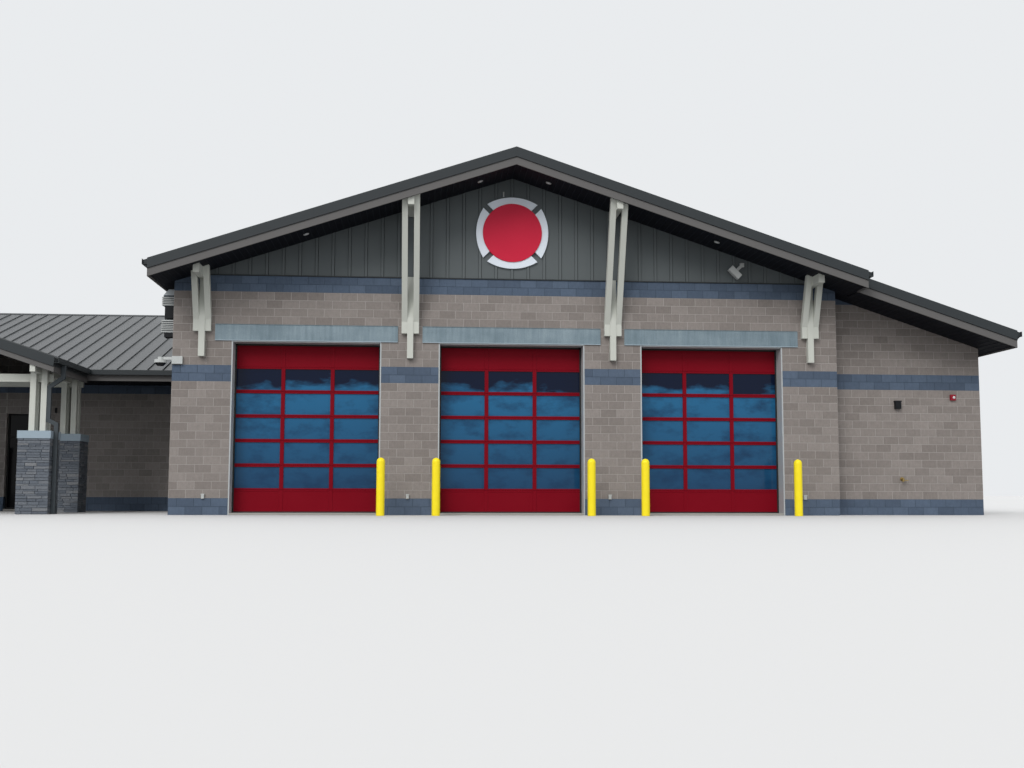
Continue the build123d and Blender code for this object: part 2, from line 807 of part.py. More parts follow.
def bollards():
    shoulder = bollard_height - bollard_radius
    post = Cylinder(bollard_radius, shoulder, align=(Align.CENTER, Align.CENTER, Align.MIN))
    post += Pos(0, 0, shoulder) * Sphere(bollard_radius)
    edge = bay_spacing / 2
    places = [-edge - bollard_from_pier, -edge + bollard_from_pier, edge - bollard_from_pier]
    places += [edge + bollard_from_pier, bay_spacing + bollard_at_end]
    return [Pos(x, -bollard_front, 0) * post for x in places]


def right_wing_end_walls():
    points = [(hall_half, 0), (right_end, 0), (right_end, roof_z(right_end) - roof_thick)]
    points += [(hall_half, roof_z(hall_half) - roof_thick)]
    ends = ((right_front, right_front + wall_thick), (right_rear - wall_thick, right_rear))
    return [along_y(points, y0, y1) for y0, y1 in ends]


def right_wing_side_wall():
    inner = right_end - wall_thick
    points = [(inner, 0), (right_end, 0), (right_end, roof_z(right_end) - roof_thick)]
    points += [(inner, roof_z(inner) - roof_thick)]
    return along_y(points, right_front + wall_thick, right_rear - wall_thick)


def wing_floors():
    y0, y1 = right_front + wall_thick, right_rear - wall_thick
    right = slab(hall_half, right_end - wall_thick, y0, y1, 0, floor_thick)
    y0, y1 = left_front + wall_thick, left_rear - wall_thick
    left = slab(left_end + wall_thick, -hall_half, y0, y1, 0, floor_thick)
    left += slab(entry_west, entry_east, left_front, left_front + wall_thick, 0, floor_thick)
    return [right, left]


def low_wall(face, inward):
    inner = face + inward * wall_thick
    tops = [(y, left_roof_z(y) - roof_thick) for y in (inner, face)]
    return [(face, 0), (inner, 0)] + tops


def left_wing_front_walls():
    points = low_wall(left_front, 1)
    return [along_x(points, left_end, entry_west), along_x(points, entry_east, -hall_half)]


def left_wing_entry_head():
    inner = left_front + wall_thick
    points = [(left_front, entry_height), (inner, entry_height), (inner, left_roof_z(inner) - roof_thick)]
    points += [(left_front, left_roof_z(left_front) - roof_thick)]
    return along_x(points, entry_west, entry_east)


def left_wing_rear_wall():
    return along_x(low_wall(left_rear, -1), left_end, -hall_half)


def left_wing_end_wall():
    y0, y1 = left_front + wall_thick, left_rear - wall_thick
    return slab(left_end, left_end + wall_thick, y0, y1, 0, left_top)


def entrance_screen():
    y0 = left_front + screen_inset
    y1 = y0 + screen_depth
    whole = slab(entry_west, entry_east, y0, y1, floor_thick, entry_height)
    bar = screen_bar
    low = slab(entry_west + bar, entry_east - bar, y0, y1, floor_thick + bar, screen_rail_height)
    high = slab(entry_west + bar, entry_east - bar, y0, y1, screen_rail_height + bar, entry_height - bar)
    return whole - low - high


def entrance_glass():
    y0 = left_front + screen_inset + (screen_depth - glass_thick) / 2
    bar = screen_bar
    x0, x1 = entry_west + bar, entry_east - bar
    low = slab(x0, x1, y0, y0 + glass_thick, floor_thick + bar, screen_rail_height)
    high = slab(x0, x1, y0, y0 + glass_thick, screen_rail_height + bar, entry_height - bar)
    return [low, high]


def pier_places():
    # each pier's centre along X, its front face and how far its top is raised
    for c in clusters:
        yield c, pier_front, 0
        yield c, pier_front + pier_spacing, rear_cap_rise


def porch_piers():
    half = pier_size / 2
    top = cap_top - pier_cap_thick
    return [slab(c - half, c + half, y, y + pier_size, 0, top + rise) for c, y, rise in pier_places()]


def porch_pier_caps():
    half = pier_size / 2 + pier_cap_lap
    pieces = []
    for c, y, rise in pier_places():
        y0, y1 = y - pier_cap_lap, y + pier_size + pier_cap_lap
        high = cap_top + rise
        pieces.append(slab(c - half, c + half, y0, y1, high - pier_cap_thick, high))
    return pieces


def below_porch(piece):
    half = porch_half_span
    return piece & chevron(porch_roof_z, porch_centre, half, roof_thick, porch_ridge_top, 0, left_front)


def porch_posts():
    pieces = []
    for c, y, rise in pier_places():
        first = y + post_inset
        for y0 in (first, first + porch_post + post_gap):
            for side in (-1, 1):
                near = c + side * post_gap / 2
                far = near + side * porch_post
                low = cap_top + rise
                post = slab(min(near, far), max(near, far), y0, y0 + porch_post, low, porch_ridge_top)
                pieces.append(below_porch(post))
    return pieces


def porch_tie_beams():
    reach = porch_half_spacing + post_gap / 2 + porch_post + tie_end
    x0, x1 = porch_centre - reach, porch_centre + reach
    places = ((tie_front, tie_top), (tie_front + pier_spacing, tie_top + rear_tie_rise))
    return [slab(x0, x1, y, y + post_gap, high - tie_depth, high) for y, high in places]


def porch_side_beams():
    half = post_gap / 2
    y0 = porch_rake + fascia_inset + fascia_thick
    rear_tie = porch_tie_beams()[-1]
    beams = [slab(c - half, c + half, y0, rear_post_back, tie_top, porch_ridge_top) for c in clusters]
    return [below_porch(beam) - rear_tie for beam in beams]


def bent_strip(path, width):
    # a strip along a bent middle line, mitred at its corners
    sides = []
    for i, (x, z) in enumerate(path):
        before = path[max(i - 1, 0)], path[max(i, 1)]
        after = path[min(i, len(path) - 2)], path[min(i + 1, len(path) - 1)]
        turns = [math.atan2(b[1] - a[1], b[0] - a[0]) for a, b in (before, after)]
        middle, half = (turns[0] + turns[1]) / 2, (turns[1] - turns[0]) / 2
        reach = width / 2 / math.cos(half)
        sides.append((reach * math.sin(middle), -reach * math.cos(middle)))
    left = [(x + u, z + v) for (x, z), (u, v) in zip(path, sides)]
    right = [(x - u, z - v) for (x, z), (u, v) in zip(path, sides)]
    return left + right[::-1]


def porch_downspouts():
    # from each gutter's sole back to the post, down it, then out round the pier's cap
    post_face = porch_half_spacing + post_gap / 2 + porch_post
    cap_face = porch_half_spacing + pier_size / 2 + pier_cap_lap
    half = downspout_width / 2
    top = low_board_top
    bend = top - downspout_neck
    jog = cap_top + downspout_above_cap
    outlet = porch_half_span + gutter_width / 2
    path = [(outlet, top), (outlet, bend), (post_face + half, bend - downspout_fall)]
    path += [(post_face + half, jog + downspout_jog), (cap_face + half, jog), (cap_face + half, 0)]
    outline = bent_strip(path, downspout_width)
    y0 = post_front + downspout_behind_post
    sides = [[(porch_centre + way * u, z) for u, z in outline] for way in (-1, 1)]
    return [along_y(side, y0, y0 + downspout_depth) for side in sides]


def main():
    os.makedirs("parts", exist_ok=True)
    save("front_piers", front_piers())
    save("front_head_wall", slab(-hall_half, hall_half, 0, wall_thick, lintel_top, masonry_top))
    save("lintels", lintels())
    save("hall_side_walls", hall_side_walls())
    rear = hall_depth - wall_thick
    save("hall_rear_wall", slab(-hall_half, hall_half, rear, hall_depth, 0, masonry_top))
    save("gable_walls", gable_walls())
    save("hall_floor", hall_floor())
    save("hall_roof_left", hall_roof(-1))
    save("hall_roof_right", hall_roof(1))
    save("right_wing_roof", right_wing_roof())
    save("left_wing_roof", left_wing_roof())
    save("porch_roof", porch_roof())
    save("ridge_caps", ridge_caps())
    save("rake_trims", rake_trims())
    save("rake_fascias", rake_fascias())
    save("eave_fascias", eave_fascias())
    save("gable_soffits", gable_soffits())
    save("eave_soffits", eave_soffits())
    save("wing_soffits", wing_soffits())
    save("gutter_backs", gutters("back"))
    save("gutter_soles", gutters("sole"))
    save("gutter_fronts", gutters("front"))
    save("door_frames", door_frames())
    save("bay_door_left", bay_door(bays[0]))
    save("bay_door_middle", bay_door(bays[1]))
    save("bay_door_right", bay_door(bays[2]))
    save("bay_door_glass", bay_door_glass())
    save("bracket_posts", bracket_posts())
    save("bracket_beams", bracket_beams())
    save("bracket_braces", bracket_braces())
    save("sign_disc", sign_disc())
    save("sign_ring", sign_ring())
    save("soffit_downlights", soffit_downlights())
    save("gable_floodlight", gable_floodlight())
    save("pier_outlets", pier_outlets())
    save("wing_wall_light", wing_wall_light())
    save("alarm_horn", wall_box(horn_x, horn_z, horn_width, horn_height, horn_depth))
    save("hose_bibb", hose_bibb())
    save("side_wall_vents", side_wall_vents())
    save("side_wall_vent_bases", side_wall_vent_bases())
    save("corner_camera", corner_camera())
    save("corner_camera_dome", corner_camera_dome())
    save("bollards", bollards())
    save("right_wing_end_walls", right_wing_end_walls())
    save("right_wing_side_wall", right_wing_side_wall())
    save("wing_floors", wing_floors())
    save("left_wing_front_walls", left_wing_front_walls())
    save("left_wing_entry_head", left_wing_entry_head())
    save("left_wing_end_wall", left_wing_end_wall())
    save("left_wing_rear_wall", left_wing_rear_wall())
    save("entrance_screen", entrance_screen())
    save("entrance_glass", entrance_glass())
    save("porch_piers", porch_piers())
    save("porch_pier_caps", porch_pier_caps())
    save("porch_posts", porch_posts())
    save("porch_tie_beams", porch_tie_beams())
    save("porch_side_beams", porch_side_beams())
    save("porch_downspouts", porch_downspouts())


main()
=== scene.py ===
import math
import numpy as np
import bpy
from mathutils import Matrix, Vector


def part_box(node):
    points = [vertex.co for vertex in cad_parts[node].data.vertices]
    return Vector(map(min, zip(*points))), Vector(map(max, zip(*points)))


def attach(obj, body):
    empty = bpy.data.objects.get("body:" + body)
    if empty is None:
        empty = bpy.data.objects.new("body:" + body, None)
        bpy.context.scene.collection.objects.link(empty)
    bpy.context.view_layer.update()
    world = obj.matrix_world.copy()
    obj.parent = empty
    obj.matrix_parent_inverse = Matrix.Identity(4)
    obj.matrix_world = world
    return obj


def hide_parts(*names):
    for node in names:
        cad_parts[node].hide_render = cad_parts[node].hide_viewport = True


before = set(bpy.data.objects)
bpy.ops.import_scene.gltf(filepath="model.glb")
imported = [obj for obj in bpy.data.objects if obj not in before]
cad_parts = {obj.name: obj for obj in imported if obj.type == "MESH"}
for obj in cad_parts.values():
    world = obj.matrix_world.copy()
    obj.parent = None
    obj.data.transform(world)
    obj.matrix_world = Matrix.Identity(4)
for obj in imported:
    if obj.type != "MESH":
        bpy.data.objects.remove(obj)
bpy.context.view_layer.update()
rng = np.random.default_rng(11)
print("frame loaded", len(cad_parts), "nodes")

# sizes shared by the pieces, in metres, read from the frame where a node gives them
course, block, pitch = 0.2032, 0.4064, 1 / 3
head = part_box("front_head_wall")
hallHalf, lintelTop, wallTop = head[1].x, head[0].z, head[1].z
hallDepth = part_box("hall_rear_wall")[1].y
bays = (-5.08, 0.0, 5.08)
bayHalf, bayTop = 1.8288, 4.2672
roofLow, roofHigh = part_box("hall_roof_right")
hallEave, ridgeTop = roofHigh.x, roofHigh.z
gableFront, gableBack = roofLow.y, roofHigh.y
wingLow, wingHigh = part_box("right_wing_roof")
wingEave = wingHigh.x
rightFront, rightRear = (corner.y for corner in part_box("right_wing_end_walls"))
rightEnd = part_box("right_wing_side_wall")[1].x
leftLow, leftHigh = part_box("left_wing_roof")
leftEave, leftBack, leftRake, leftRidgeTop = leftLow.y, leftHigh.y, leftLow.x, leftHigh.z
leftRidge = (leftEave + leftBack) / 2
leftFront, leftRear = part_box("left_wing_front_walls")[0].y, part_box("left_wing_rear_wall")[1].y
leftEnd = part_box("left_wing_end_wall")[0].x
porchLow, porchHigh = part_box("porch_roof")
porchX, porchHalf = (porchLow.x + porchHigh.x) / 2, (porchHigh.x - porchLow.x) / 2
porchFront, porchTop = porchLow.y, porchHigh.z
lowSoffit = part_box("wing_soffits")[0].z
soffitDrop, soffitThick, boardThick, roofThick = 0.4, 0.02, 0.04, 0.23
sunk = 0.002          # how far a plate on a wall starts behind the wall's face


def slopeFrom(top, ridge, across):
    # a roof's height is its ridge's, less the pitch times the distance from the ridge, for a place across or
    # for x and y, of which the first (0) or the last (-1) lies across
    return lambda *place: top - np.abs(place[across] - ridge) * pitch


roofZ, porchRoofZ = slopeFrom(ridgeTop, 0.0, 0), slopeFrom(porchTop, porchX, 0)
leftRoofZ = slopeFrom(leftRidgeTop, leftRidge, -1)
# the low wing's level soffit begins this far behind its eave, where the roof's underside reaches it
walkInset = (lowSoffit + soffitThick + roofThick - leftRoofZ(leftEave)) / pitch


# mesh builders: each returns points and four-sided faces as whole arrays
upward = np.array([0.0, 0.0, 1.0])
boxFaces = np.array([[4, 5, 6, 7], [3, 2, 1, 0], [0, 1, 5, 4], [1, 2, 6, 5], [2, 3, 7, 6], [3, 0, 4, 7]])
ways = {"front": ((1, 0, 0), (0, -1, 0)), "rear": ((-1, 0, 0), (0, 1, 0)),
        "right": ((0, 1, 0), (1, 0, 0)), "left": ((0, -1, 0), (-1, 0, 0))}


def boxesFrom(back, front):
    # back and front are (n, 4, 3) rings; six faces join each pair, turned over where a ring runs clockwise
    points = np.concatenate([back, front], axis=1)
    normal = np.cross(front[:, 1] - front[:, 0], front[:, 3] - front[:, 0])
    outward = np.einsum("ij,ij->i", normal, (front - back).mean(axis=1)) > 0
    faces = np.where(outward[:, None, None], boxFaces, boxFaces[:, ::-1])
    faces = faces + 8 * np.arange(len(points))[:, None, None]
    return points.reshape(-1, 3), faces.reshape(-1, 4)


def faceOf(corner, way):
    # a wall's own axes, so that along times up is outwards
    along, out = ways[way]
    return {"corner": corner, "along": along, "out": out}


def onWall(wall, at, rise):
    # a point is the wall's corner plus at's two values, along the wall and up, plus the rise outwards
    corner, along, out = (np.array(wall[key], float) for key in ("corner", "along", "out"))
    return corner + at[..., :1] * along + at[..., 1:] * upward + rise[..., None] * out


def plates(wall, quads, back, front, chamfer):
    # each plate is a quad (n, 4, 2) that rises from back to front, drawn in by the chamfer at its face
    face = quads - np.sign(quads - quads.mean(axis=1, keepdims=True)) * chamfer
    back, front = (np.asarray(rise, float).reshape(-1, 1) for rise in (back, front))
    return boxesFrom(onWall(wall, quads, back), onWall(wall, face, front))


def rectangles(u0, u1, v0, v1):
    # the four corners of each rectangle, round from its lower left one
    u0, u1, v0, v1 = np.broadcast_arrays(*(np.asarray(a, float) for a in (u0, u1, v0, v1)))
    return np.stack([u0, v0, u1, v0, u1, v1, u0, v1], -1).reshape(-1, 4, 2)


def bars(start, end, half, rise, taper=1.0):
    # a straight bar from start to end: half to each side, and rise high, its top narrower by the taper
    half, rise = np.array(half, float), np.array(rise, float)
    rings = []
    for at in (start, end):
        at = np.atleast_2d(at).astype(float)
        top = at + rise
        rings.append(np.stack([at - half, at + half, top + half * taper, top - half * taper], axis=1))
    return boxesFrom(*rings)


def strips(along, at, near, far, height, size):
    # bars along X or Y from near to far, one at each place across, their feet at height(x, y) plus the lift
    at, near, far = np.broadcast_arrays(at, near, far)
    keep = np.abs(far - near) > size["shortest"]
    ends = []
    for reach in (near[keep], far[keep]):
        x, y = (reach, at[keep]) if along == "x" else (at[keep], reach)
        ends.append(np.stack([x, y, np.broadcast_to(height(x, y) + size["lift"], x.shape)], -1))
    half = (0, size["half"], 0) if along == "x" else (size["half"], 0, 0)
    return bars(*ends, half, (0, 0, size["high"]), size["top"])


def wrapped(rings, count):
    # the faces of a closed band: each ring of points joins the next, and the last joins the first
    i, j = np.meshgrid(np.arange(rings), np.arange(count), indexing="ij")
    i2, j2 = (i + 1) % rings * count, (j + 1) % count
    return np.stack([i * count + j, i2 + j, i2 + j2, i * count + j2], -1).reshape(-1, 4)


def frameRings(wall, u0, u1, v0, v1, profile):
    # a closed profile of (inset, height) points carried round each rectangle
    corners, profile = rectangles(u0, u1, v0, v1), np.asarray(profile, float)
    inward = np.array([[1, 1], [-1, 1], [-1, -1], [1, -1]], float)
    points = onWall(wall, corners[:, :, None] + inward[:, None] * profile[:, :1], profile[:, 1])
    faces = wrapped(4, len(profile)) + 4 * len(profile) * np.arange(len(corners))[:, None, None]
    return points.reshape(-1, 3), faces.reshape(-1, 4)


def turned(profile, centre, axis, across, segments):
    # a closed profile of (radius, height along the axis) turned about the axis
    profile, centre, axis, across = (np.asarray(a, float) for a in (profile, centre, axis, across))
    angle = np.linspace(0, 2 * math.pi, segments, endpoint=False)[:, None]
    spoke = np.cos(angle) * across + np.sin(angle) * np.cross(axis, across)
    points = centre + profile[:, :1] * spoke[:, None] + profile[:, 1:] * axis
    return points.reshape(-1, 3), wrapped(segments, len(profile))


def uprightTube(x, y, low, high, radius, sides=8):
    # a ring of points at the radius round an upright line, at its foot and at its top, both ends closed
    angle = np.linspace(0, 2 * math.pi, sides, endpoint=False) + math.pi / sides
    ring = np.stack([x - radius * np.cos(angle), y + radius * np.sin(angle), np.zeros(sides)], -1)
    a, b, c = np.arange(sides), (np.arange(sides) + 1) % sides, np.arange(sides // 2 - 1)
    cap = np.stack([c, c + 1, sides - 2 - c, sides - 1 - c], -1)
    faces = np.concatenate([np.stack([a + sides, b + sides, b, a], -1), cap, (cap + sides)[:, ::-1]])
    return np.concatenate([ring + (0, 0, low), ring + (0, 0, high)]), faces


def boxAt(*spans):
    # upright boxes from (x0, x1, y0, y1, z0, z1) rows
    low, high = np.array(spans, float)[:, 0::2], np.array(spans, float)[:, 1::2]
    far = np.array([[0, 0, 0], [1, 0, 0], [1, 0, 1], [0, 0, 1]], bool)
    front = np.where(far, high[:, None], low[:, None])
    back = front.copy()
    back[..., 1] = high[:, None, 1]
    return boxesFrom(back, front)


def domed(radius, height, steps=5):
    # a low dome's outline: (radius, height) pairs from the rim to nearly the middle, and back underneath
    turn = np.linspace(0, math.pi / 2 * 0.94, steps)
    rim = np.stack([radius * np.cos(turn), height * np.sin(turn)], -1)
    return np.concatenate([rim, [[rim[-1, 0], -sunk], [radius, -sunk]]])


def placed(name, data):
    # a new object in the scene, at the origin
    made = bpy.data.objects.new(name, data)
    bpy.context.scene.collection.objects.link(made)
    return made


def makePiece(name, parts, key, tone=None, stands=()):
    # the parts make one mesh, each one's faces counted on from the last, with a tone for each face if given
    bases = np.cumsum([0] + [len(points) for points, _ in parts[:-1]])
    points = np.concatenate([p for p, _ in parts])
    faces = np.concatenate([f + base for (_, f), base in zip(parts, bases)])
    mesh = bpy.data.meshes.new(name)
    mesh.vertices.add(len(points))
    mesh.vertices.foreach_set("co", points.astype(np.float32).ravel())
    mesh.loops.add(faces.size)
    mesh.loops.foreach_set("vertex_index", faces.astype(np.int32).ravel())
    mesh.polygons.add(len(faces))
    mesh.polygons.foreach_set("loop_start", np.arange(0, faces.size, 4, dtype=np.int32))
    mesh.update(calc_edges=True)
    mesh.shade_flat()
    if tone is not None:
        mesh.attributes.new("tone", "FLOAT", "FACE").data.foreach_set("value", tone.astype(np.float32))
    mesh.materials.append(finish[key])
    piece = placed(name, mesh)
    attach(piece, "root")
    if stands:
        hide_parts(*stands)


# materials
class Wire:
    # a value that runs through a node tree: + - * and comparisons on it add Math nodes
    def __init__(self, nodes, socket):
        self.nodes, self.socket = nodes, socket

    def maths(self, kind, first, second):
        return self.nodes.node("Math", {"operation": kind}, {0: first, 1: second})

    def __add__(self, b): return self.maths("ADD", self, b)
    def __radd__(self, b): return self.maths("ADD", b, self)
    def __sub__(self, b): return self.maths("SUBTRACT", self, b)
    def __rsub__(self, b): return self.maths("SUBTRACT", b, self)
    def __mul__(self, b): return self.maths("MULTIPLY", self, b)
    def __rmul__(self, b): return self.maths("MULTIPLY", b, self)
    def __lt__(self, b): return self.maths("LESS_THAN", self, b)
    def __gt__(self, b): return self.maths("GREATER_THAN", self, b)


class Nodes:
    # the node tree of a material or of the world, where one method makes every node
    def __init__(self, owner):
        owner.use_nodes = True
        self.tree = owner.node_tree

    def node(self, kind, settings=None, inputs=None, output=0):
        made = self.tree.nodes.new("ShaderNode" + kind)
        for key, value in (settings or {}).items():
            if key == "stops":
                stops = made.color_ramp.elements
                for i, (place, colour) in enumerate(value):
                    stop = stops[i] if i < 2 else stops.new(place)
                    stop.position, stop.color = place, colour
            else:
                setattr(made, key, value)
        for key, value in (inputs or {}).items():
            self.feed(made.inputs[key], value)
        return Wire(self, made.outputs[output])

    def feed(self, socket, value):
        if isinstance(value, Wire):
            self.tree.links.new(value.socket, socket)
        else:
            socket.default_value = value


class Finish(Nodes):
    def __init__(self, name, roughness, metallic=0.0, specular=0.5):
        self.material = bpy.data.materials.new(name)
        super().__init__(self.material)
        self.shader = self.tree.nodes["Principled BSDF"]
        self.put(roughness=roughness, metallic=metallic, specular=specular)

    def put(self, **values):
        names = {"colour": "Base Color", "specular": "Specular IOR Level"}
        for key, value in values.items():
            self.feed(self.shader.inputs[names.get(key, key.title())], value)
        return self.material

    def place(self, scale=(1, 1, 1)):
        where = self.node("TexCoord", output="Object")
        return self.node("Mapping", None, {"Vector": where, "Scale": scale})

    def height(self):
        return self.node("SeparateXYZ", None, {"Vector": self.place()}, output="Z")

    def within(self, bands):
        # 1 where the height lies in one of the (low, high) bands
        height = self.height()
        return sum((height > low) * (height < high) for low, high in bands)

    def noise(self, scale, detail=3.0, stretch=(1, 1, 1), rough=0.5):
        return self.node("TexNoise", None, {"Vector": self.place(stretch), "Scale": scale, "Detail": detail,
                                            "Roughness": rough})

    def blend(self, share, first, second, how="MIX"):
        return self.node("Mix", {"data_type": "RGBA", "blend_type": how}, {0: share, 6: first, 7: second}, 2)

    def ramp(self, value, *stops):
        return self.node("ValToRGB", {"stops": stops}, {"Fac": value})

    def tone(self):
        return self.node("Attribute", {"attribute_name": "tone"}, output="Fac")

    def bump(self, height, distance, strength):
        # the distance is the relief's depth in metres
        return self.node("Bump", None, {"Strength": strength, "Distance": distance, "Height": height})


def srgb(red, green, blue):
    # a screen colour in 0-255 as the linear colour that the shader takes
    screen = np.array([red, green, blue]) / 255
    linear = np.where(screen <= 0.04045, screen / 12.92, ((screen + 0.055) / 1.055) ** 2.4)
    return (*linear.tolist(), 1.0)


def grey(level):
    return (level, level, level, 1)


def masonry(name, *tones):
    # block to block tone from the attribute, then speckle, fluted splits, mottling and slow weather stains
    f = Finish(name, 0.92, specular=0.25)
    dark, mid, light = (srgb(*tone) for tone in tones)
    shade = f.ramp(f.tone(), (0.0, dark), (1.0, light), (0.5, mid))
    speckle = f.noise(160, detail=4, rough=0.7)
    flute = f.noise(9, detail=4, stretch=(5, 5, 0.7), rough=0.65)
    mottle = f.noise(11, detail=5, rough=0.75)
    stain = f.noise(0.9, detail=4)
    grain = f.ramp(0.3 * speckle + 0.3 * flute + 0.4 * mottle, (0.34, grey(0.34)), (0.66, grey(0.66)))
    colour = f.blend(0.6, shade, grain, "OVERLAY")
    colour = f.blend(0.10 * stain, colour, (0.05, 0.045, 0.04, 1))
    return f.put(colour=colour, normal=f.bump(speckle + 1.5 * flute, 0.0018, 0.8))


def mortarFinish(name, bands):
    # pale between taupe blocks, dark between the slate ones, by height
    f = Finish(name, 0.95, specular=0.2)
    sand = f.noise(220, rough=0.7)
    pale = f.blend(sand, srgb(158, 153, 149), srgb(174, 169, 165))
    slate = f.blend(sand, srgb(60, 72, 86), srgb(74, 86, 100))
    return f.put(colour=f.blend(f.within(bands), pale, slate), normal=f.bump(sand, 0.001, 0.6))


def paintedMetal(name, colour, rough=0.45, spread=0.12, metallic=0.0, specular=0.5):
    # factory paint: faint unevenness, dust in broad clouds
    f, colour = Finish(name, rough, metallic, specular), srgb(*colour)
    cloud, fine = f.noise(1.4, detail=4), f.noise(30)
    lighter = tuple(min(1.0, c * (1 + spread * 2.5) + 0.004) for c in colour[:3]) + (1,)
    return f.put(colour=f.blend(0.55 * cloud + 0.2 * fine, colour, lighter),
                 roughness=rough - 0.08 + 0.16 * fine, normal=f.bump(fine, 0.0006, 0.25))


def boardPaint(name, tones, direction, rough=0.7, paintedEdgeShade=False):
    # painted wood: grain drawn out along the boards, with painted shade on the edges where the attribute is low
    f = Finish(name, rough, specular=0.35)
    stretch = {"x": (0.4, 9, 9), "y": (9, 0.4, 9), "z": (9, 9, 0.4)}[direction]
    grain, cloud = f.noise(6, detail=5, stretch=stretch, rough=0.65), f.noise(0.8)
    colour = f.blend(0.6 * grain + 0.4 * cloud, *(srgb(*tone) for tone in tones))
    if paintedEdgeShade:
        # painted shade: this dark colour stands in for the shadow along a batten's sides
        colour = f.blend(f.tone(), srgb(26, 28, 31), colour)
    return f.put(colour=colour, roughness=rough - 0.1 + 0.2 * grain, normal=f.bump(grain, 0.0015, 0.5))


def streakedSteel():
    # galvanised lintel: streaks run down, spangle in small cells
    f = Finish("weathered galvanised steel", 0.5, metallic=0.25)
    fall = f.noise(3, detail=5, stretch=(4, 4, 0.4), rough=0.65)
    patch = f.noise(1.1, detail=4, stretch=(1, 1, 2.5))
    streak = f.ramp(0.6 * fall + 0.4 * patch, (0.33, grey(0)), (0.7, grey(1)))
    spangle = f.node("TexVoronoi", None, {"Vector": f.place(), "Scale": 45.0}, output="Distance")
    colour = f.blend(streak, srgb(102, 121, 131), srgb(142, 159, 168))
    colour = f.blend(0.25 * spangle, colour, srgb(92, 104, 112))
    return f.put(colour=colour, roughness=0.5 + 0.2 * spangle, normal=f.bump(spangle, 0.0004, 0.3))


def entranceGlass():
    # nearly black glazing with a slight waviness; its near black is painted shade of the unlit space behind the
    # glass
    f = Finish("entrance glass", 0.05, specular=0.1)
    wave = f.noise(0.6, detail=2)
    return f.put(colour=f.blend(0.15 * wave, srgb(4, 5, 8), srgb(10, 12, 16)),
                 normal=f.bump(wave, 0.004, 0.25))


def doorGlass():
    # tinted glazing with painted reflection: darkest above a wavy line in the top row, clearest blue under it,
    # duller towards the foot
    f = Finish("tinted door glass", 0.05, specular=0.15)
    top, middle, foot, murky = srgb(4, 18, 44), srgb(34, 96, 136), srgb(26, 66, 100), srgb(14, 46, 78)
    height = f.height()
    drift = f.noise(0.7, detail=4, stretch=(1, 1, 2.6), rough=0.6)
    murk = f.noise(1.6, detail=5, stretch=(1, 1, 1.8), rough=0.6)
    # painted reflection: the dark above the wavy line stands in for something dark reflected in the top row
    above = f.ramp(height * 2.2 - 6.8 + 2.4 * (drift - 0.5) + 0.5 * f.tone(), (0.2, grey(0)), (0.6, grey(1)))
    # the blues are partly the glass's tint and partly painted sky reflection
    clear = f.ramp(height * 0.3, (0.2, foot), (0.85, middle))
    dull = f.ramp(murk, (0.46, grey(0)), (0.72, grey(0.75)))
    colour = f.blend(above, f.blend(dull, clear, murky), top)
    return f.put(colour=colour, normal=f.bump(f.noise(0.6, detail=2), 0.004, 0.25))


def ventHead(paintedShadeGaps):
    # pale sheet, with painted shade between the louvres, by height
    f = Finish("louvred vent head, painted shade between louvres", 0.5, specular=0.3)
    fine = f.noise(30)
    pale = f.blend(fine, srgb(184, 190, 194), srgb(170, 176, 180))
    # painted shade: the dark colour between the louvres stands in for the shadow behind them
    return f.put(colour=f.blend(f.within(paintedShadeGaps), pale, srgb(52, 60, 68)),
                 normal=f.bump(fine, 0.0006, 0.25))


def castFinish(name, dark, light):
    # cast stone or trowelled concrete: broad clouds and fine grain
    f = Finish(name, 0.85, specular=0.3)
    cloud, grain = f.noise(1.2, detail=5), f.noise(60, detail=4, rough=0.7)
    return f.put(colour=f.blend(0.6 * cloud + 0.4 * grain, srgb(*dark), srgb(*light)),
                 normal=f.bump(grain, 0.001, 0.5))


def stoneFinish():
    # four tones from stone to stone by the attribute, and rough rock over them
    f = Finish("stacked ledge stone", 0.85, specular=0.3)
    shade = f.ramp(f.tone(), (0.0, srgb(88, 94, 103)), (1.0, srgb(122, 124, 127)), (0.4, srgb(99, 105, 113)),
                   (0.8, srgb(110, 114, 120)))
    rock = f.noise(18, detail=6, stretch=(1, 1, 2.2), rough=0.7)
    relief = f.ramp(rock, (0.3, grey(0.25)), (0.7, grey(0.75)))
    return f.put(colour=f.blend(0.45, shade, relief, "OVERLAY"), normal=f.bump(rock, 0.012, 0.9))


def plasticFinish(name, dark, light, rough=0.4, specular=0.5):
    # moulded plastic or rubber: scuffs change its colour and gloss, over a fine texture
    f = Finish(name, rough, specular=specular)
    scuff, texture = f.noise(5, detail=5, rough=0.7), f.noise(90, detail=2)
    return f.put(colour=f.blend(scuff, srgb(*dark), srgb(*light)), roughness=rough - 0.06 + 0.14 * scuff,
                 normal=f.bump(texture, 0.0004, 0.3))


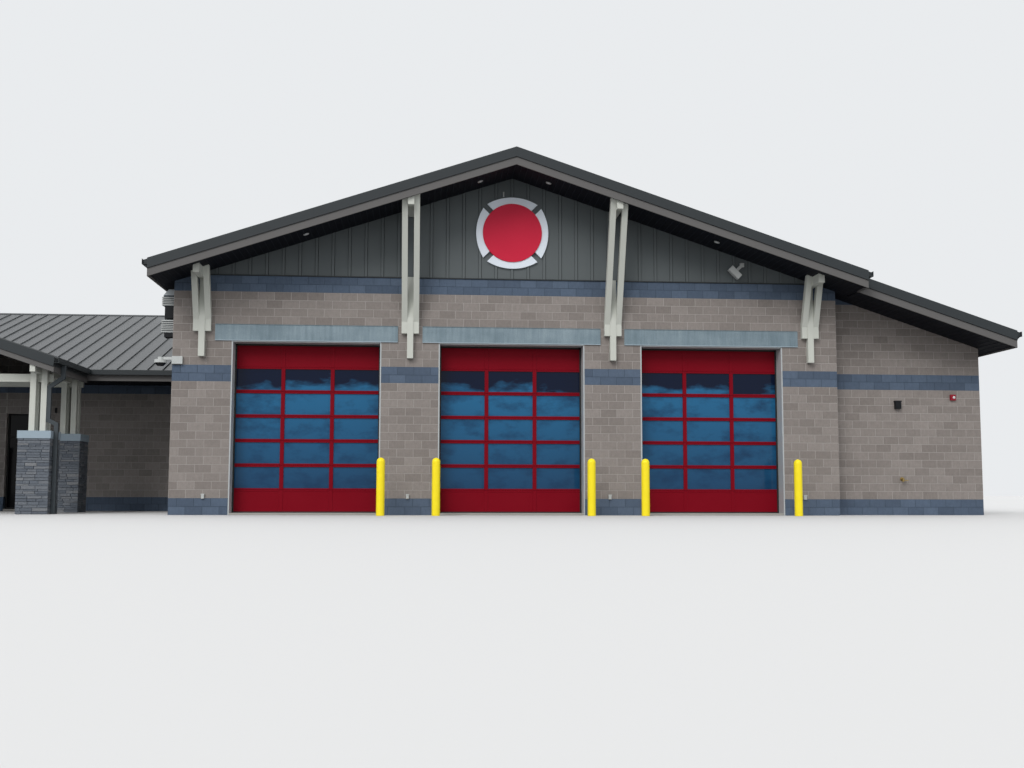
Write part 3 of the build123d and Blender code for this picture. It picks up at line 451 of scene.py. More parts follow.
fasciaTones = ((86, 85, 85), (100, 98, 97))
timberTones = ((182, 185, 177), (202, 204, 197))
finish = {
    "taupeBlock": masonry("taupe concrete block", (127, 120, 116), (135, 128, 124), (142, 135, 131)),
    # painted light: a lighter copy of the taupe block, lifting the low wing's shaded walls
    "lowTaupePaintedLight": masonry("low wing taupe block, lightened as painted light", (132, 127, 124), (141, 136, 133), (149, 143, 140)),
    "slateBlock": masonry("slate blue concrete block", (76, 89, 107), (82, 96, 115), (88, 102, 121)),
    "mortar": mortarFinish("hall mortar", ((-1, 2 * course), (16 * course, 18 * course),
                                           (27 * course, 29 * course))),
    "lowMortar": mortarFinish("low wing mortar", ((-1, 2 * course), (17 * course, 19 * course))),
    "siding": boardPaint("painted siding board", ((82, 88, 90), (94, 100, 102)), "z"),
    "batten": boardPaint("painted siding batten", ((84, 90, 92), (96, 102, 104)), "z", paintedEdgeShade=True),
    "roofMetal": paintedMetal("standing seam roof metal", (49, 53, 56), rough=0.42),
    "trimMetal": paintedMetal("dark edge metal", (40, 45, 48), rough=0.5, specular=0.3),
    "fasciaX": boardPaint("painted fascia board", fasciaTones, "x"),
    "fasciaY": boardPaint("painted side fascia board", fasciaTones, "y"),
    # painted shade: the soffit panel's near black is partly its dark paint and partly the shade under the eaves;
    # its ribs are left lighter
    "soffit": paintedMetal("dark soffit panel", (17, 19, 26), rough=0.6, spread=0.1, specular=0.1),
    "soffitRib": paintedMetal("soffit panel rib", (38, 42, 50), rough=0.6, spread=0.1, specular=0.1),
    "lintel": streakedSteel(),
    # painted highlight: the pale lower flange stands in for light caught on the lintel's bottom edge
    "lintelPaintedHighlight": paintedMetal("lintel edge, painted highlight", (160, 176, 186), spread=0.06),
    "frameSteel": paintedMetal("pale steel frame", (168, 173, 175), rough=0.4, spread=0.08),
    "doorRed": paintedMetal("door enamel, red", (116, 3, 22), spread=0.08, specular=0.06),
    "glass": doorGlass(),
    "entryGlass": entranceGlass(),
    "timber": boardPaint("pale painted timber", timberTones, "z", rough=0.65),
    "timberX": boardPaint("pale painted cross timber", timberTones, "x", rough=0.65),
    "timberY": boardPaint("pale painted long timber", timberTones, "y", rough=0.65),
    "signRed": paintedMetal("sign enamel, red", (196, 34, 62), rough=0.4, spread=0.06, specular=0.12),
    "signPale": paintedMetal("sign enamel, off white", (218, 226, 236), rough=0.4, spread=0.02),
    "stone": stoneFinish(),
    "stoneCap": castFinish("cast stone cap", (138, 154, 166), (156, 171, 182)),
    "concrete": castFinish("floor concrete", (140, 138, 134), (168, 166, 161)),
    "yellow": plasticFinish("yellow sleeve", (244, 218, 22), (252, 234, 44), specular=0.25),
    "black": plasticFinish("black rubber", (16, 16, 17), (30, 30, 31), rough=0.7),
    "darkFitting": paintedMetal("dark fitting", (14, 17, 22), rough=0.5, specular=0.2),
    "spoutMetal": paintedMetal("downspout metal", (62, 68, 72), rough=0.5, specular=0.2),
    "dome": plasticFinish("smoked dome", (10, 12, 16), (20, 22, 28), rough=0.1),
    "paleFitting": paintedMetal("pale grey fitting", (176, 179, 178), spread=0.06),
    "ventHead": ventHead(((4.478, 4.776), (5.15, 5.40))),
    "alarmRed": plasticFinish("alarm red plastic", (132, 14, 34), (150, 22, 42), rough=0.35, specular=0.2),
    "lens": plasticFinish("frosted lens", (200, 204, 206), (222, 225, 226), rough=0.25),
    "brass": paintedMetal("weathered brass", (150, 128, 78), rough=0.4, spread=0.1, metallic=0.8),
    "bronze": paintedMetal("dark bronze frame", (34, 33, 34), 0.5, spread=0.1, metallic=0.3, specular=0.2),
}
print("materials made", len(finish))

# which finish each CAD node wears
dressing = {
    "mortar": "front_piers front_head_wall hall_side_walls hall_rear_wall right_wing_end_walls "
              "right_wing_side_wall",
    "lowMortar": "left_wing_front_walls left_wing_entry_head left_wing_end_wall left_wing_rear_wall",
    "siding": "gable_walls",
    "lintel": "lintels",
    "concrete": "hall_floor wing_floors",
    "roofMetal": "hall_roof_left hall_roof_right right_wing_roof left_wing_roof porch_roof",
    "trimMetal": "ridge_caps rake_trims gutter_backs gutter_soles gutter_fronts",
    "fasciaX": "rake_fascias",
    "fasciaY": "eave_fascias",
    "soffit": "gable_soffits eave_soffits wing_soffits",
    "frameSteel": "door_frames",
    "doorRed": "bay_door_left bay_door_middle bay_door_right",
    "timber": "bracket_posts bracket_braces porch_posts",
    "timberX": "porch_tie_beams",
    "timberY": "bracket_beams porch_side_beams",
    "signRed": "sign_disc",
    "signPale": "sign_ring",
    "paleFitting": "soffit_downlights gable_floodlight pier_outlets corner_camera",
    "ventHead": "side_wall_vents",
    "spoutMetal": "porch_downspouts",
    "dome": "corner_camera_dome",
    "darkFitting": "wing_wall_light side_wall_vent_bases",
    "alarmRed": "alarm_horn",
    "brass": "hose_bibb",
    "yellow": "bollards",
    "bronze": "entrance_screen",
    "entryGlass": "entrance_glass",
    "stone": "porch_piers",
    "stoneCap": "porch_pier_caps",
}
for key, nodes in dressing.items():
    for node in nodes.split():
        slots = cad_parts[node].data.materials
        slots.clear()
        slots.append(finish[key])

# blockwork: running bond over the walls' faces, with slate bands in the rows listed
blockwork = {"joint": 0.010, "proud": 0.004, "chamfer": 0.002, "least": 0.03, "bands": (0, 1, 16, 17, 27, 28),
             "lowBands": (0, 1, 17, 18), "lowRows": 19, "underEave": 0.03, "underRoof": 0.24, "wingHighest": 5.9,
             "wingSide": 4.5, "wallThick": 0.4, "spare": 0.1}
proud, wallThick = blockwork["proud"], blockwork["wallThick"]


def layBlocks(bands, wall, u0, u1, v0, v1, top=None):
    # rows one course high, every other row half a block along, cut to the area and to a sloping top
    b, hair = blockwork, 1e-6
    rows = np.arange(round(v0 / course), math.ceil(v1 / course - hair))
    columns = np.arange(math.floor(u0 / block) - 1, math.ceil(u1 / block) + 1)
    row, column = (a.ravel() for a in np.meshgrid(rows, columns, indexing="ij"))
    start = (column + 0.5 * (row % 2)) * block
    left, right = np.clip(start, u0, u1), np.clip(start + block, u0, u1)
    low, high = row * course, np.minimum((row + 1) * course, v1)
    keep = right - left > b["least"]
    row, left, right, low, high = (a[keep] for a in (row, left, right, low, high))
    half = b["joint"] / 2
    quads = rectangles(left + half, right - half, low + half, high - half)
    quads[row == 0, :2, 1] = 0.0
    if top is not None:
        quads[..., 1] = np.minimum(quads[..., 1], top(quads[..., 0]))
    keep = (quads[:, 2:, 1] - quads[:, 1::-1, 1]).min(axis=1) > b["least"]
    quads, band = quads[keep], np.isin(row[keep], bands)
    return [(plates(wall, quads[part], -sunk, b["proud"], b["chamfer"]), np.repeat(rng.random(part.sum()), 6))
            for part in (~band, band)]


def blockPieces(name, areas, bands=blockwork["bands"], plainFinish="taupeBlock"):
    # one piece of plain blocks and one of banded blocks from all the areas, each block with its own tone
    laid = zip(*(layBlocks(bands, *area) for area in areas))
    for part, key, parts in zip(("taupe", "slate"), (plainFinish, "slateBlock"), laid):
        parts = [p for p in parts if len(p[1])]
        if parts:
            tone = np.concatenate([p[1] for p in parts])
            makePiece(f"{name}_{part}_blocks", [p[0] for p in parts], key, tone)


def underRoof(height, shift, way, drop):
    # the top of a wall's face: the roof's height at the place reached along the wall, less the drop
    return lambda u: height(shift + way * u) - drop


width = 2 * hallHalf
front, rear = faceOf((-hallHalf, 0, 0), "front"), faceOf((hallHalf, hallDepth, 0), "rear")
left, right = faceOf((-hallHalf, hallDepth, 0), "left"), faceOf((hallHalf, 0, 0), "right")
pierStarts = [-proud] + [c + bayHalf + hallHalf for c in bays]
pierEnds = [c - bayHalf + hallHalf for c in bays] + [width + proud]
frontAreas = []
for i, (start, end) in enumerate(zip(pierStarts, pierEnds)):
    # a pier is narrower by a block where a lintel rests on it
    frontAreas.append((front, start, end, 0, bayTop))
    frontAreas.append((front, start + block * (i > 0), end - block * (i < len(bays)), bayTop, lintelTop))
frontAreas.append((front, -proud, width + proud, lintelTop, wallTop))
blockPieces("hall_front", frontAreas)

lowTop, sideTop = blockwork["lowRows"] * course, wallTop - blockwork["underEave"]
blockPieces("hall_sides", [
    (left, hallDepth - leftFront, hallDepth, 0, sideTop), (left, 0, hallDepth - leftRear, 0, sideTop),
    (left, hallDepth - leftRear, hallDepth - leftFront, lowTop, sideTop),
    (right, 0, rightFront, 0, sideTop), (right, rightRear, hallDepth, 0, sideTop)])
blockPieces("hall_rear", [(rear, -proud, width + proud, 0, wallTop)])

wingWidth, wingHighest, wallDrop = rightEnd - hallHalf, blockwork["wingHighest"], blockwork["underRoof"]
wingFront = faceOf((hallHalf, rightFront, 0), "front")
wingRear = faceOf((rightEnd, rightRear, 0), "rear")
wingSide = faceOf((rightEnd, rightFront, 0), "right")
blockPieces("right_wing", [
    (wingFront, 0, wingWidth + proud, 0, wingHighest, underRoof(roofZ, hallHalf, 1, wallDrop)),
    (wingRear, -proud, wingWidth, 0, wingHighest, underRoof(roofZ, rightEnd, -1, wallDrop)),
    (wingSide, 0, rightRear - rightFront, 0, blockwork["wingSide"])])

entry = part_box("left_wing_entry_head")
lowFront = faceOf((leftEnd, leftFront, 0), "front")
lowRear = faceOf((-hallHalf, leftRear, 0), "rear")
lowEnd = faceOf((leftEnd, leftRear, 0), "left")
entry0, entry1, entryTop = entry[0].x - leftEnd, entry[1].x - leftEnd, entry[0].z
walkTop, lowWide, lowLong = leftRoofZ(leftFront) - wallDrop, -hallHalf - leftEnd, leftRear - leftFront
underLow = underRoof(leftRoofZ, leftRear, -1, wallDrop)
# the low wing's blocks wear the lighter copy of the taupe block, as painted light
blockPieces("left_wing", [
    (lowFront, -proud, entry0, 0, walkTop), (lowFront, entry1, lowWide, 0, walkTop),
    (lowFront, entry0, entry1, entryTop, walkTop), (lowRear, 0, lowWide + proud, 0, lowTop),
    (lowEnd, 0, lowLong, 0, lowTop),
    (lowEnd, lowLong - wallThick, lowLong, lowTop, walkTop + blockwork["spare"], underLow)],
    blockwork["lowBands"], "lowTaupePaintedLight")
print("blockwork laid")

# board and batten siding on the gables, with a flashing at its foot; a batten's face has the paint's full
# tone, and its edges have painted shade: one painted in deep shade, the other in half
siding = {"spacing": 0.4064, "batten": 0.086, "proud": 0.022, "chamfer": 0.013, "least": 0.05, "underRoof": 0.39,
          "tones": [1.0, 0, 0, 0.1, 0, 0.6], "flashHigh": 0.028, "flashLow": 0.012, "flashProud": 0.03,
          "flashChamfer": 0.008, "flashOver": 0.01, "flashTurn": 0.1}


def layBattens(wall, u0, u1, low, top):
    # battens a spacing apart, counted from the middle, each as high as the roof allows
    s = siding
    count = int((u1 - u0) / 2 / s["spacing"])
    at = (u0 + u1) / 2 + np.arange(-count, count + 1) * s["spacing"]
    quads = rectangles(at - s["batten"] / 2, at + s["batten"] / 2, low, 0)
    quads[:, 2:, 1] = top(quads[:, 2:, 0])
    quads = quads[quads[:, 2:, 1].min(axis=1) > low + s["least"]]
    return plates(wall, quads, -sunk, s["proud"], s["chamfer"])


battens = [
    layBattens(front, 0, width, wallTop, underRoof(roofZ, -hallHalf, 1, siding["underRoof"])),
    layBattens(rear, 0, width, wallTop, underRoof(roofZ, hallHalf, -1, siding["underRoof"])),
    layBattens(lowEnd, wallThick, lowLong - wallThick, lowTop, underLow),
    layBattens(lowEnd, lowLong, leftRear - leftEave - walkInset, lowSoffit + soffitThick, underLow),
]
# the tones paint shade on the battens' side faces
makePiece("siding_battens", battens, "batten",
          np.tile(siding["tones"], sum(len(b[1]) for b in battens) // 6))
over, turnIn = siding["flashOver"], wallThick - siding["flashTurn"]
makePiece("siding_flashing", [
    plates(wall, rectangles(u0, u1, low - siding["flashLow"], low + siding["flashHigh"]), -sunk,
           siding["flashProud"], siding["flashChamfer"])
    for wall, u0, u1, low in ((front, -over, width + over, wallTop), (rear, -over, width + over, wallTop),
                              (lowEnd, turnIn, lowLong - turnIn, lowTop))], "trimMetal")
print("siding laid")

# standing seams
seam = {"spacing": 0.406, "half": 0.013, "high": 0.038, "top": 0.75, "lift": -0.001, "shortest": 0.15,
        "fromRidge": 0.2, "fromEdge": 0.12, "fromJoin": 0.1, "fromValley": 0.02, "fromHall": 0.15,
        "overHall": 4, "overSpacing": 0.35, "porchFirst": 0.15, "porchLast": 0.3}


def spaced(low, high):
    # places a seam's spacing apart, centred between low and high
    count = int((high - low) / seam["spacing"])
    return (low + high) / 2 + (np.arange(count + 1) - count / 2) * seam["spacing"]


inner = seam["fromRidge"]
hallYs = spaced(gableFront + seam["fromEdge"], gableBack - seam["fromEdge"])
underLowRoof = (hallYs > leftEave) & (hallYs < leftBack)
coveredFrom = np.where(underLowRoof, (ridgeTop - leftRoofZ(hallYs)) / pitch, np.inf)
wingYs = hallYs[(hallYs > wingLow.y + seam["fromJoin"]) & (hallYs < wingHigh.y - seam["fromJoin"])]
makePiece("hall_roof_seams", [
    strips("x", hallYs, inner, hallEave, roofZ, seam), strips("x", wingYs, hallEave, wingEave, roofZ, seam),
    strips("x", hallYs, -inner, -np.minimum(hallEave, coveredFrom - seam["fromValley"]), roofZ, seam)],
    "roofMetal")

lowXs = spaced(leftRake + seam["fromEdge"], -hallEave - seam["fromHall"])
overHall = -hallHalf + np.arange(seam["overHall"]) * seam["overSpacing"]
valley = np.maximum(0, porchHalf - np.abs(lowXs - porchX))
reach = (leftRidgeTop - roofZ(overHall)) / pitch
lowSeams = [strips("y", at, leftRidge + side * inner, end, leftRoofZ, seam) for at, side, end in (
    (lowXs, -1, leftEave + valley), (lowXs, 1, leftBack), (overHall, -1, leftRidge - reach),
    (overHall, 1, leftRidge + reach))]
porchYs = spaced(porchFront + seam["porchFirst"], leftEave + porchHalf - seam["porchLast"])
porchReach = porchHalf - np.maximum(0, porchYs - leftEave)
for side in (-1, 1):
    lowSeams.append(strips("x", porchYs, porchX + side * inner, porchX + side * porchReach, porchRoofZ, seam))
makePiece("low_roof_seams", lowSeams, "roofMetal")
print("roof seams laid")

# ribs of the soffit panels
rib = {"spacing": 0.15, "half": 0.008, "high": -0.009, "top": 0.6, "lift": 0.001, "shortest": 0.0,
       "boardLap": 0.015, "fromLowRoof": 0.1, "fromPosts": 0.001}


def soffitZ(x, y):
    # the hall's soffits lie a fixed drop under its roof
    return roofZ(x) - soffitDrop


boardFront = gableFront + rib["boardLap"]
wingBoard, wingEdge, hallEdge = rightFront + boardFront, wingEave - boardThick, hallEave - boardThick
eastStart, westEnd = porchX + porchHalf, porchX - porchHalf
walkStart, walkEnd = leftEave + walkInset, leftBack - walkInset
walkSoffit = lambda x, y: lowSoffit
# each row: the ribs' direction, their first and last place across, their start and end, and their height
soffits = (
    ("y", -hallEdge, hallEdge, boardFront, 0, soffitZ),
    ("y", -hallEdge, hallEdge, hallDepth, hallDepth - boardFront, soffitZ),
    ("y", hallEave, wingEdge, wingBoard, rightFront, soffitZ),
    ("y", hallEave, wingEdge, rightRear, hallDepth - wingBoard, soffitZ),
    ("x", rightFront, rightRear, rightEnd, wingEdge, soffitZ),
    ("x", 0, leftEave - rib["fromLowRoof"], -hallEdge, -hallHalf, soffitZ),
    ("x", leftBack + rib["fromLowRoof"], hallDepth, -hallEdge, -hallHalf, soffitZ),
    ("y", eastStart, -hallHalf, walkStart, leftFront, walkSoffit),
    ("y", leftEnd, westEnd, walkStart, leftFront, walkSoffit),
    ("y", westEnd, eastStart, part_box("porch_posts")[1].y + rib["fromPosts"], leftFront, walkSoffit),
    ("y", leftEnd, -hallHalf, leftRear, walkEnd, walkSoffit),
)
makePiece("soffit_ribs", [
    strips(way, np.arange(low + rib["spacing"] / 2, high, rib["spacing"]), near, far, height, rib)
    for way, low, high, near, far, height in soffits], "soffitRib")
print("soffits ribbed")

# sectional doors: raised stiles and rails, glazing beads, panes and weather seals; the black jamb and head seals
# are partly real rubber and partly painted shade in the gaps round the leaves
door = {"face": 0.4203, "sections": 7, "stile": 0.042, "mullion": 0.095, "offset": 0.61, "rail": 0.0375,
        "proud": 0.009, "railShare": 0.7, "chamfer": 0.003, "sunk": 0.001, "groove": 0.010, "foot": 0.075,
        "headGap": 0.032, "sideGap": 0.031, "glassHigh": 0.525, "paneBack": 0.026, "paneBehind": 0.006,
        "paneBefore": 0.004, "seal": 0.042, "sealReach": 0.022, "sealFoot": 0.052, "sealChamfer": 0.004,
        "footBack": 0.02, "footZ": 0.051, "footHalf": 0.022, "footHigh": 0.03, "footTop": 0.9,
        "bead": ((-0.006, 0.0), (-0.006, 0.006), (-0.002, 0.006), (0.001, -0.012), (0.001, -0.026),
                 (0.0, -0.026))}


def dressDoors():
    # the marks across a door are where its uprights start and end in turn, with columns of windows between;
    # every member is cut at the grooves between the sections
    d = door
    step, inside, middle = bayTop / d["sections"], bayHalf - d["sideGap"], d["mullion"] / 2
    marks = [-inside, -bayHalf + d["stile"], -d["offset"] - middle, -d["offset"] + middle, d["offset"] - middle,
             d["offset"] + middle, bayHalf - d["stile"], inside]
    uprights, columns = list(zip(marks[0::2], marks[1::2])), list(zip(marks[1::2], marks[2::2]))
    rows = np.arange(d["sections"])
    low = np.maximum(rows * step, d["foot"]) + d["groove"] / 2
    high = np.minimum((rows + 1) * step, bayTop - d["headGap"]) - d["groove"] / 2
    base = rows[1:-1] * step + (step - d["glassHigh"]) / 2
    sealTop, sealSide = bayTop - d["sideGap"], inside - d["seal"]
    members, beads, panes, tones, seals = [], [], [], [], []
    for centre in bays:
        wall = faceOf((centre, d["face"], 0), "front")
        for a, b in uprights:
            members.append(plates(wall, rectangles(a, b, low, high), -d["sunk"], d["proud"], d["chamfer"]))
        for a, b in columns:
            for v0, v1 in ((low, low + d["rail"]), (high - d["rail"], high)):
                members.append(plates(wall, rectangles(a, b, v0, v1), -d["sunk"], d["proud"] * d["railShare"],
                                      d["chamfer"]))
        for a, b in columns:
            beads.append(frameRings(wall, a, b, base, base + d["glassHigh"], d["bead"]))
            panes.append(plates(wall, rectangles(a, b, base, base + d["glassHigh"]),
                                -d["paneBack"] - d["paneBehind"], -d["paneBack"] + d["paneBefore"], 0.0))
            tones.append(np.repeat(rng.random(len(base)), 6))
        y, z = d["face"] + d["footBack"], d["footZ"]
        seals.append(bars((centre - inside, y, z), (centre + inside, y, z), (0, d["footHalf"], 0),
                          (0, 0, d["footHigh"]), d["footTop"]))
        # painted shade: the black jamb and head seals also stand in for the shade in the gap between leaf and
        # frame
        jambs = rectangles([-inside, sealSide, -inside], [-sealSide, inside, inside],
                           [d["sealFoot"], d["sealFoot"], sealTop - d["seal"]], sealTop)
        seals.append(plates(wall, jambs, d["proud"] - sunk, d["sealReach"], d["sealChamfer"]))
    makePiece("door_stiles_and_rails", members, "doorRed")
    makePiece("door_glazing_beads", beads, "doorRed")
    makePiece("door_panes", panes, "glass", np.concatenate(tones), ["bay_door_glass"])
    makePiece("door_weather_seals", seals, "black")


dressDoors()

# lintels: a flange along the top and bottom of each; the lower one is pale, a painted highlight along the
# lintel's bottom edge
lintel = {"half": 2.2352, "face": -0.025, "flange": 0.014, "proud": 0.012, "lap": 0.004, "chamfer": 0.003}
for part, key, low, high in (("upper", "lintel", lintelTop - lintel["flange"], lintelTop),
                             ("lower", "lintelPaintedHighlight", bayTop - lintel["lap"], bayTop + lintel["flange"])):
    edge = rectangles(-lintel["half"], lintel["half"], low, high)
    makePiece(f"lintel_{part}_flanges", [
        plates(faceOf((centre, lintel["face"], 0), "front"), edge, -sunk, lintel["proud"], lintel["chamfer"])
        for centre in bays], key)
print("doors dressed")

# a drip along the foot of each rake band, near black: partly the drip's own metal, partly a painted shadow line
# under the band
drip = {"high": 0.018, "half": 0.012, "inset": 0.0125, "foot": 0.238, "band": 0.05}


def bandEnds(front, back):
    # the drips' places along Y, just within the bands that stand out from a roof's front and back ends
    return front - drip["band"] + drip["inset"], back + drip["band"] - drip["inset"]


def dripAlong(x0, x1, y, height):
    # a bar down the slope between two places across, a fixed depth under the roof's top
    start, end = ([x, y, height(x) - drip["foot"]] for x in (x0, x1))
    return bars(start, end, (0, drip["half"], 0), (0, 0, drip["high"]))


drips = []
for side in (-1, 1):
    drips += [dripAlong(0, side * hallEave, y, roofZ) for y in bandEnds(gableFront, gableBack)]
    drips.append(dripAlong(porchX, porchX + side * porchHalf, bandEnds(porchFront, 0)[0], porchRoofZ))
drips += [dripAlong(hallEave, wingEave, y, roofZ) for y in bandEnds(wingLow.y, wingHigh.y)]
# painted shadow: the drips' near black stands partly for the shadow line under each rake band
makePiece("rake_drips", drips, "darkFitting")

# the rake band runs on over the ends of the gutters as a small cut-off plate
gutter = {"wide": 0.12, "lip": 0.085, "thick": 0.014, "lipGap": 0.0005, "inset": 0.012}


def gutterCaps(eave, front, back):
    # two plates from the eave to the gutter's lip, sloping on top with the roof
    g = gutter
    lipX, top = eave + math.copysign(g["wide"] - g["lipGap"], eave), roofZ(eave)
    lipTop, half = top - g["wide"] * pitch, (0, g["thick"] / 2, 0)
    outline = [[eave, 0, top - roofThick], [lipX, 0, lipTop - g["lip"]], [lipX, 0, lipTop], [eave, 0, top]]
    middle = np.array([[[0, front + g["inset"], 0]], [[0, back - g["inset"], 0]]]) + outline
    return boxesFrom(middle + half, middle - half)


makePiece("gutter_end_plates", [
    gutterCaps(-hallEave, gableFront, gableBack), gutterCaps(hallEave, gableFront, gableBack),
    gutterCaps(wingEave, wingLow.y, wingHigh.y)], "trimMetal")

# porch piers: ledge stones in uneven rows
ledge = {"rows": (0.045, 0.06, 0.07, 0.085), "shortest": 0.16, "longest": 0.36, "joint": 0.005, "least": 0.006,
         "most": 0.021, "chamfer": 0.006, "sunk": 0.004, "stones": 18, "slip": 0.1, "lastShare": 0.7,
         "lowestRow": 0.04, "leftOver": 0.03, "pier": 0.76, "rearRise": 0.05, "over": 0.015}


def layStones(wall, length, top):
    # rows of random height, stones of random length and reach, each row filled from a random start
    s = ledge
    quads, reach, low, gap = [], [], 0.0, ledge["joint"] / 2
    while low < top - s["leftOver"]:
        high = min(low + rng.choice(s["rows"]), top)
        if top - high < s["lowestRow"]:
            high = top
        steps = np.cumsum(rng.uniform(s["shortest"], s["longest"], s["stones"]))
        ends = np.concatenate([[0], steps - rng.uniform(0, s["slip"])])
        ends = np.concatenate([ends[ends < length - s["shortest"] * s["lastShare"]], [length]])
        quads.append(rectangles(ends[:-1] + gap, ends[1:] - gap, low + gap, high - gap))
        reach.append(rng.uniform(s["least"], s["most"], len(ends) - 1))
        low = high
    quads, reach = np.concatenate(quads), np.concatenate(reach)
    return plates(wall, quads, -s["sunk"], reach, s["chamfer"]), np.repeat(rng.random(len(quads)), 6)


stones = []
pierLow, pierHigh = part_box("porch_piers")
pier, over = ledge["pier"], ledge["over"]
for centre in (pierLow.x + pier / 2, pierHigh.x - pier / 2):
    for y0, pierTop in ((pierLow.y, pierHigh.z - ledge["rearRise"]), (pierHigh.y - pier, pierHigh.z)):
        x0, x1, y1 = centre - pier / 2, centre + pier / 2, y0 + pier
        for way, x, y, length in (("front", x0 - over, y0, pier + 2 * over), ("left", x0, y1, y1 - y0),
                                  ("right", x1, y0, y1 - y0), ("rear", x1 + over, y1, pier + 2 * over)):
            stones.append(layStones(faceOf((x, y, 0), way), length, pierTop))
makePiece("porch_ledge_stones", [s[0] for s in stones], "stone", np.concatenate([s[1] for s in stones]))
print("stones laid")

# fins of the side wall's two louvred vents
vents = {"fin": 0.021, "reach": 0.034, "margin": 0.02, "lower": 7, "upper": 5, "upperShare": 0.55,
         "lowerTop": 4.785, "upperFoot": 5.142}
low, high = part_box("side_wall_vents")
fins, foot, margin, half = [], vents["upperFoot"], vents["margin"], vents["fin"] / 2
for count, z0, z1 in ((vents["lower"], low.z, vents["lowerTop"]),
                      (vents["upper"], foot, foot + (high.z - foot) * vents["upperShare"])):
    for z in np.linspace(z0 + margin, z1 - margin, count):
        fins.append((low.x - vents["reach"], high.x, low.y - margin, high.y + margin, z - half, z + half))
makePiece("vent_fins", [boxAt(*fins)], "paleFitting")

# a raised rim round the sign's red disc, as (radius, distance from the wall)
sign = {"rim": ((0.733, 0.070), (0.733, 0.081), (0.744, 0.081), (0.746, 0.078), (0.746, 0.070)), "segments": 96}
low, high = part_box("sign_disc")
centre = (0, 0, (low.z + high.z) / 2)
makePiece("sign_rim", [turned(sign["rim"], centre, (0, -1, 0), (1, 0, 0), sign["segments"])], "signRed")

# a strobe lens on the alarm and a lens in each soffit downlight, as (radius, height) domes
lamps = {"strobe": (0.036, 0.022), "strobeIn": 0.048, "downlight": (0.052, 0.010), "drop": 0.013,
         "x": (-5.08, -0.85, 0.85, 5.08), "y": -0.7, "segments": 20}
low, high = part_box("alarm_horn")
strobeAt = (high.x - lamps["strobeIn"], low.y, (low.z + high.z) / 2)
bulbs = [turned(domed(*lamps["strobe"]), strobeAt, (0, -1, 0), (1, 0, 0), lamps["segments"])]
for x in lamps["x"]:
    tilt = math.copysign(math.atan(pitch), x)
    down = np.array([-math.sin(tilt), 0, -math.cos(tilt)])
    across = (math.cos(tilt), 0, -math.sin(tilt))
    middle = np.array([x, lamps["y"], soffitZ(x, 0) + rib["lift"]]) + down * lamps["drop"]
    bulbs.append(turned(domed(*lamps["downlight"]), middle, down, across, lamps["segments"]))
makePiece("lamp_lenses", bulbs, "lens")

# visor and glass of the wall light; the glass's values are its inset, reach, back, foot and top
light = {"visor": 0.012, "visorDeep": 0.02, "glass": (0.02, 0.006, 0.01, 0.025, 0.09)}
low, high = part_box("wing_wall_light")
visor, (inset, reach, back, foot, top) = light["visor"], light["glass"]
makePiece("wall_light_trim", [boxAt(
    (low.x - visor, high.x + visor, low.y - visor, high.y, high.z - light["visorDeep"], high.z + visor),
    (low.x + inset, high.x - inset, low.y - reach, low.y + back, low.z + foot, low.z + top))],
    "darkFitting")

# a conduit stub over the sign and a sensor beside the entrance
stub = {"x": -0.222, "y": -0.024, "low": 8.012, "high": 8.141, "radius": 0.02}
makePiece("conduit_stub", [uprightTube(**stub)], "paleFitting")
sensor = {"x": -12.995, "half": 0.03, "low": 2.87, "high": 3.02, "reach": 0.05, "chamfer": 0.008}
x, half = sensor["x"], sensor["half"]
quad = rectangles(x - half - leftEnd, x + half - leftEnd, sensor["low"], sensor["high"])
makePiece("entrance_sensor", [plates(lowFront, quad, 0.0, sensor["reach"], sensor["chamfer"])], "darkFitting")

# straps round the downspouts, whose upper part stands nearer to the porch's middle
strap = {"levels": (0.35, 1.35, 2.75), "reach": 0.006, "high": 0.035, "half": 0.05, "columnX": 2.855,
         "kneeX": 2.655, "kneeZ": 2.2}
low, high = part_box("porch_downspouts")
straps, reach, wrap = [], strap["reach"], strap["half"] + strap["reach"]
for side in (-1, 1):
    for z in strap["levels"]:
        x = porchX + side * (strap["columnX"] if z < strap["kneeZ"] else strap["kneeX"])
        straps.append((x - wrap, x + wrap, low.y - reach, high.y + reach, z, z + strap["high"]))
makePiece("downspout_straps", [boxAt(*straps)], "spoutMetal")

# a hood and a plate on each pier outlet: half width, reach, back, then how far the hood goes below and above
# the outlet's top, and how far the plate keeps from its foot and top
outlet = {"x": (-7.508, -2.568, 2.455, 7.43), "hood": (0.041, 0.006, 0.02, 0.02, 0.008),
          "plate": (0.028, 0.004, 0.01, 0.012, 0.03)}
low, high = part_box("pier_outlets")
covers, hood, plate = [], outlet["hood"], outlet["plate"]
for x in outlet["x"]:
    for (half, reach, back), z0, z1 in ((hood[:3], high.z - hood[3], high.z + hood[4]),
                                        (plate[:3], low.z + plate[3], high.z - plate[4])):
        covers.append((x - half, x + half, low.y - reach, low.y + back, z0, z1))
makePiece("outlet_covers", [boxAt(*covers)], "paleFitting")
print("fittings made")

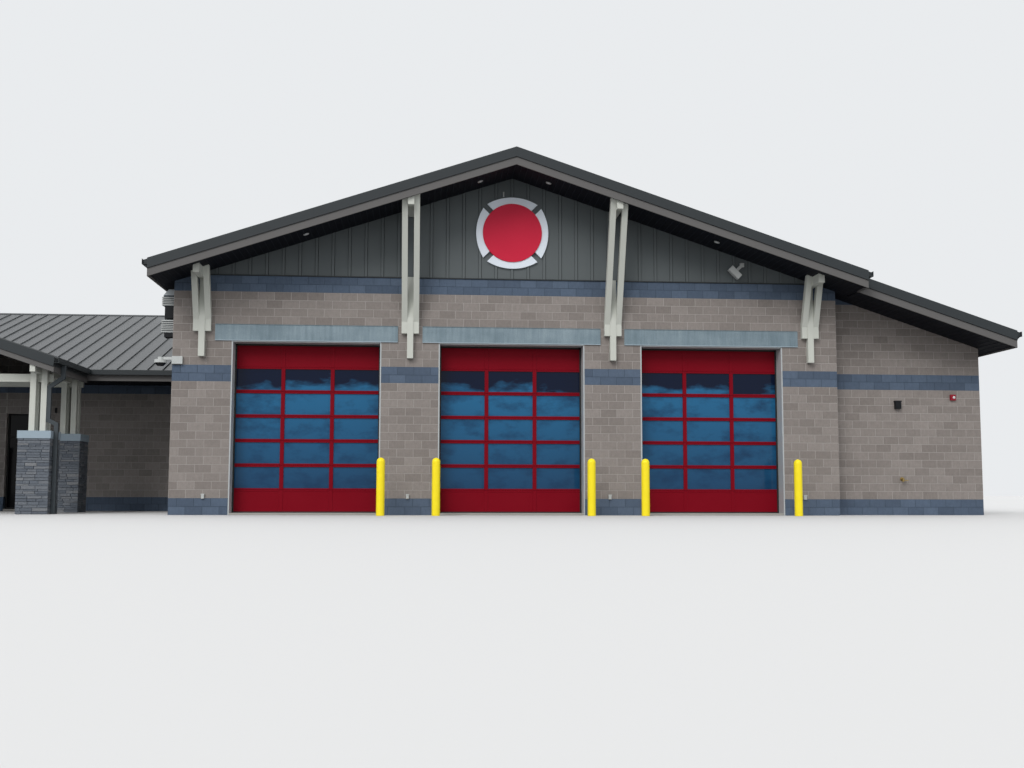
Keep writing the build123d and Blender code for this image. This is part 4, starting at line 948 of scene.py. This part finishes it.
# floor, light and camera; the pairs are a colour and its strength, and angles are in degrees
studio = {"floorHalf": 400.0, "floorZ": -0.002, "floorLit": 0.26, "floorSeen": (0.60, 0.63),
          "light": ((0.97, 0.985, 1.0, 1), 1.1), "backdrop": ((0.86, 0.88, 0.90, 1), 0.95),
          "sun": 1.5, "sunWide": 28, "sunColour": (1.0, 0.985, 0.96), "sunTurn": (52, 0, -28)}
view = {"lens": 40.46, "sensor": 36.0, "furthest": 2000.0, "place": (-2.213, -28.526, 0.531),
        "turn": (95.442, -0.126, -4.455)}


def makeStage():
    # a flat floor that the camera sees paler, a world that lights evenly, and one wide soft sun
    s = studio
    half, z = s["floorHalf"], s["floorZ"]
    mesh = bpy.data.meshes.new("studio_floor")
    mesh.from_pydata([(-half, -half, z), (half, -half, z), (half, half, z), (-half, half, z)], [], [(0, 1, 2, 3)])
    floor = placed("studio_floor", mesh)
    f = Finish("plain pale floor", 0.9, specular=0.1)
    pale = f.blend(0.3 * f.noise(0.05, detail=2), *(grey(level) for level in s["floorSeen"]))
    seenByCamera = f.node("LightPath", output="Is Camera Ray")
    f.put(colour=f.blend(seenByCamera, grey(s["floorLit"]), pale))
    mesh.materials.append(f.material)

    world = bpy.data.worlds.new("studio")
    bpy.context.scene.world = world
    sky = Nodes(world)
    lit, seen = (sky.node("Background", None, {"Color": colour, "Strength": strength})
                 for colour, strength in (s["light"], s["backdrop"]))
    seenByCamera = sky.node("LightPath", output="Is Camera Ray")
    shown = sky.node("MixShader", None, {0: seenByCamera, 1: lit, 2: seen})
    sky.feed(sky.tree.nodes["World Output"].inputs["Surface"], shown)

    sun = bpy.data.lights.new("soft key", "SUN")
    sun.energy, sun.angle, sun.color = s["sun"], math.radians(s["sunWide"]), s["sunColour"]
    placed("soft key", sun).rotation_euler = [math.radians(angle) for angle in s["sunTurn"]]


def makeCamera():
    # low down, well in front of the doors, looking up and a little right
    data = bpy.data.cameras.new("camera")
    data.lens, data.sensor_width, data.clip_end = view["lens"], view["sensor"], view["furthest"]
    camera = placed("camera", data)
    camera.location = view["place"]
    camera.rotation_euler = [math.radians(angle) for angle in view["turn"]]
    bpy.context.scene.camera = camera


makeStage()
makeCamera()
bpy.context.scene.view_settings.view_transform = "Standard"
print("stage set")
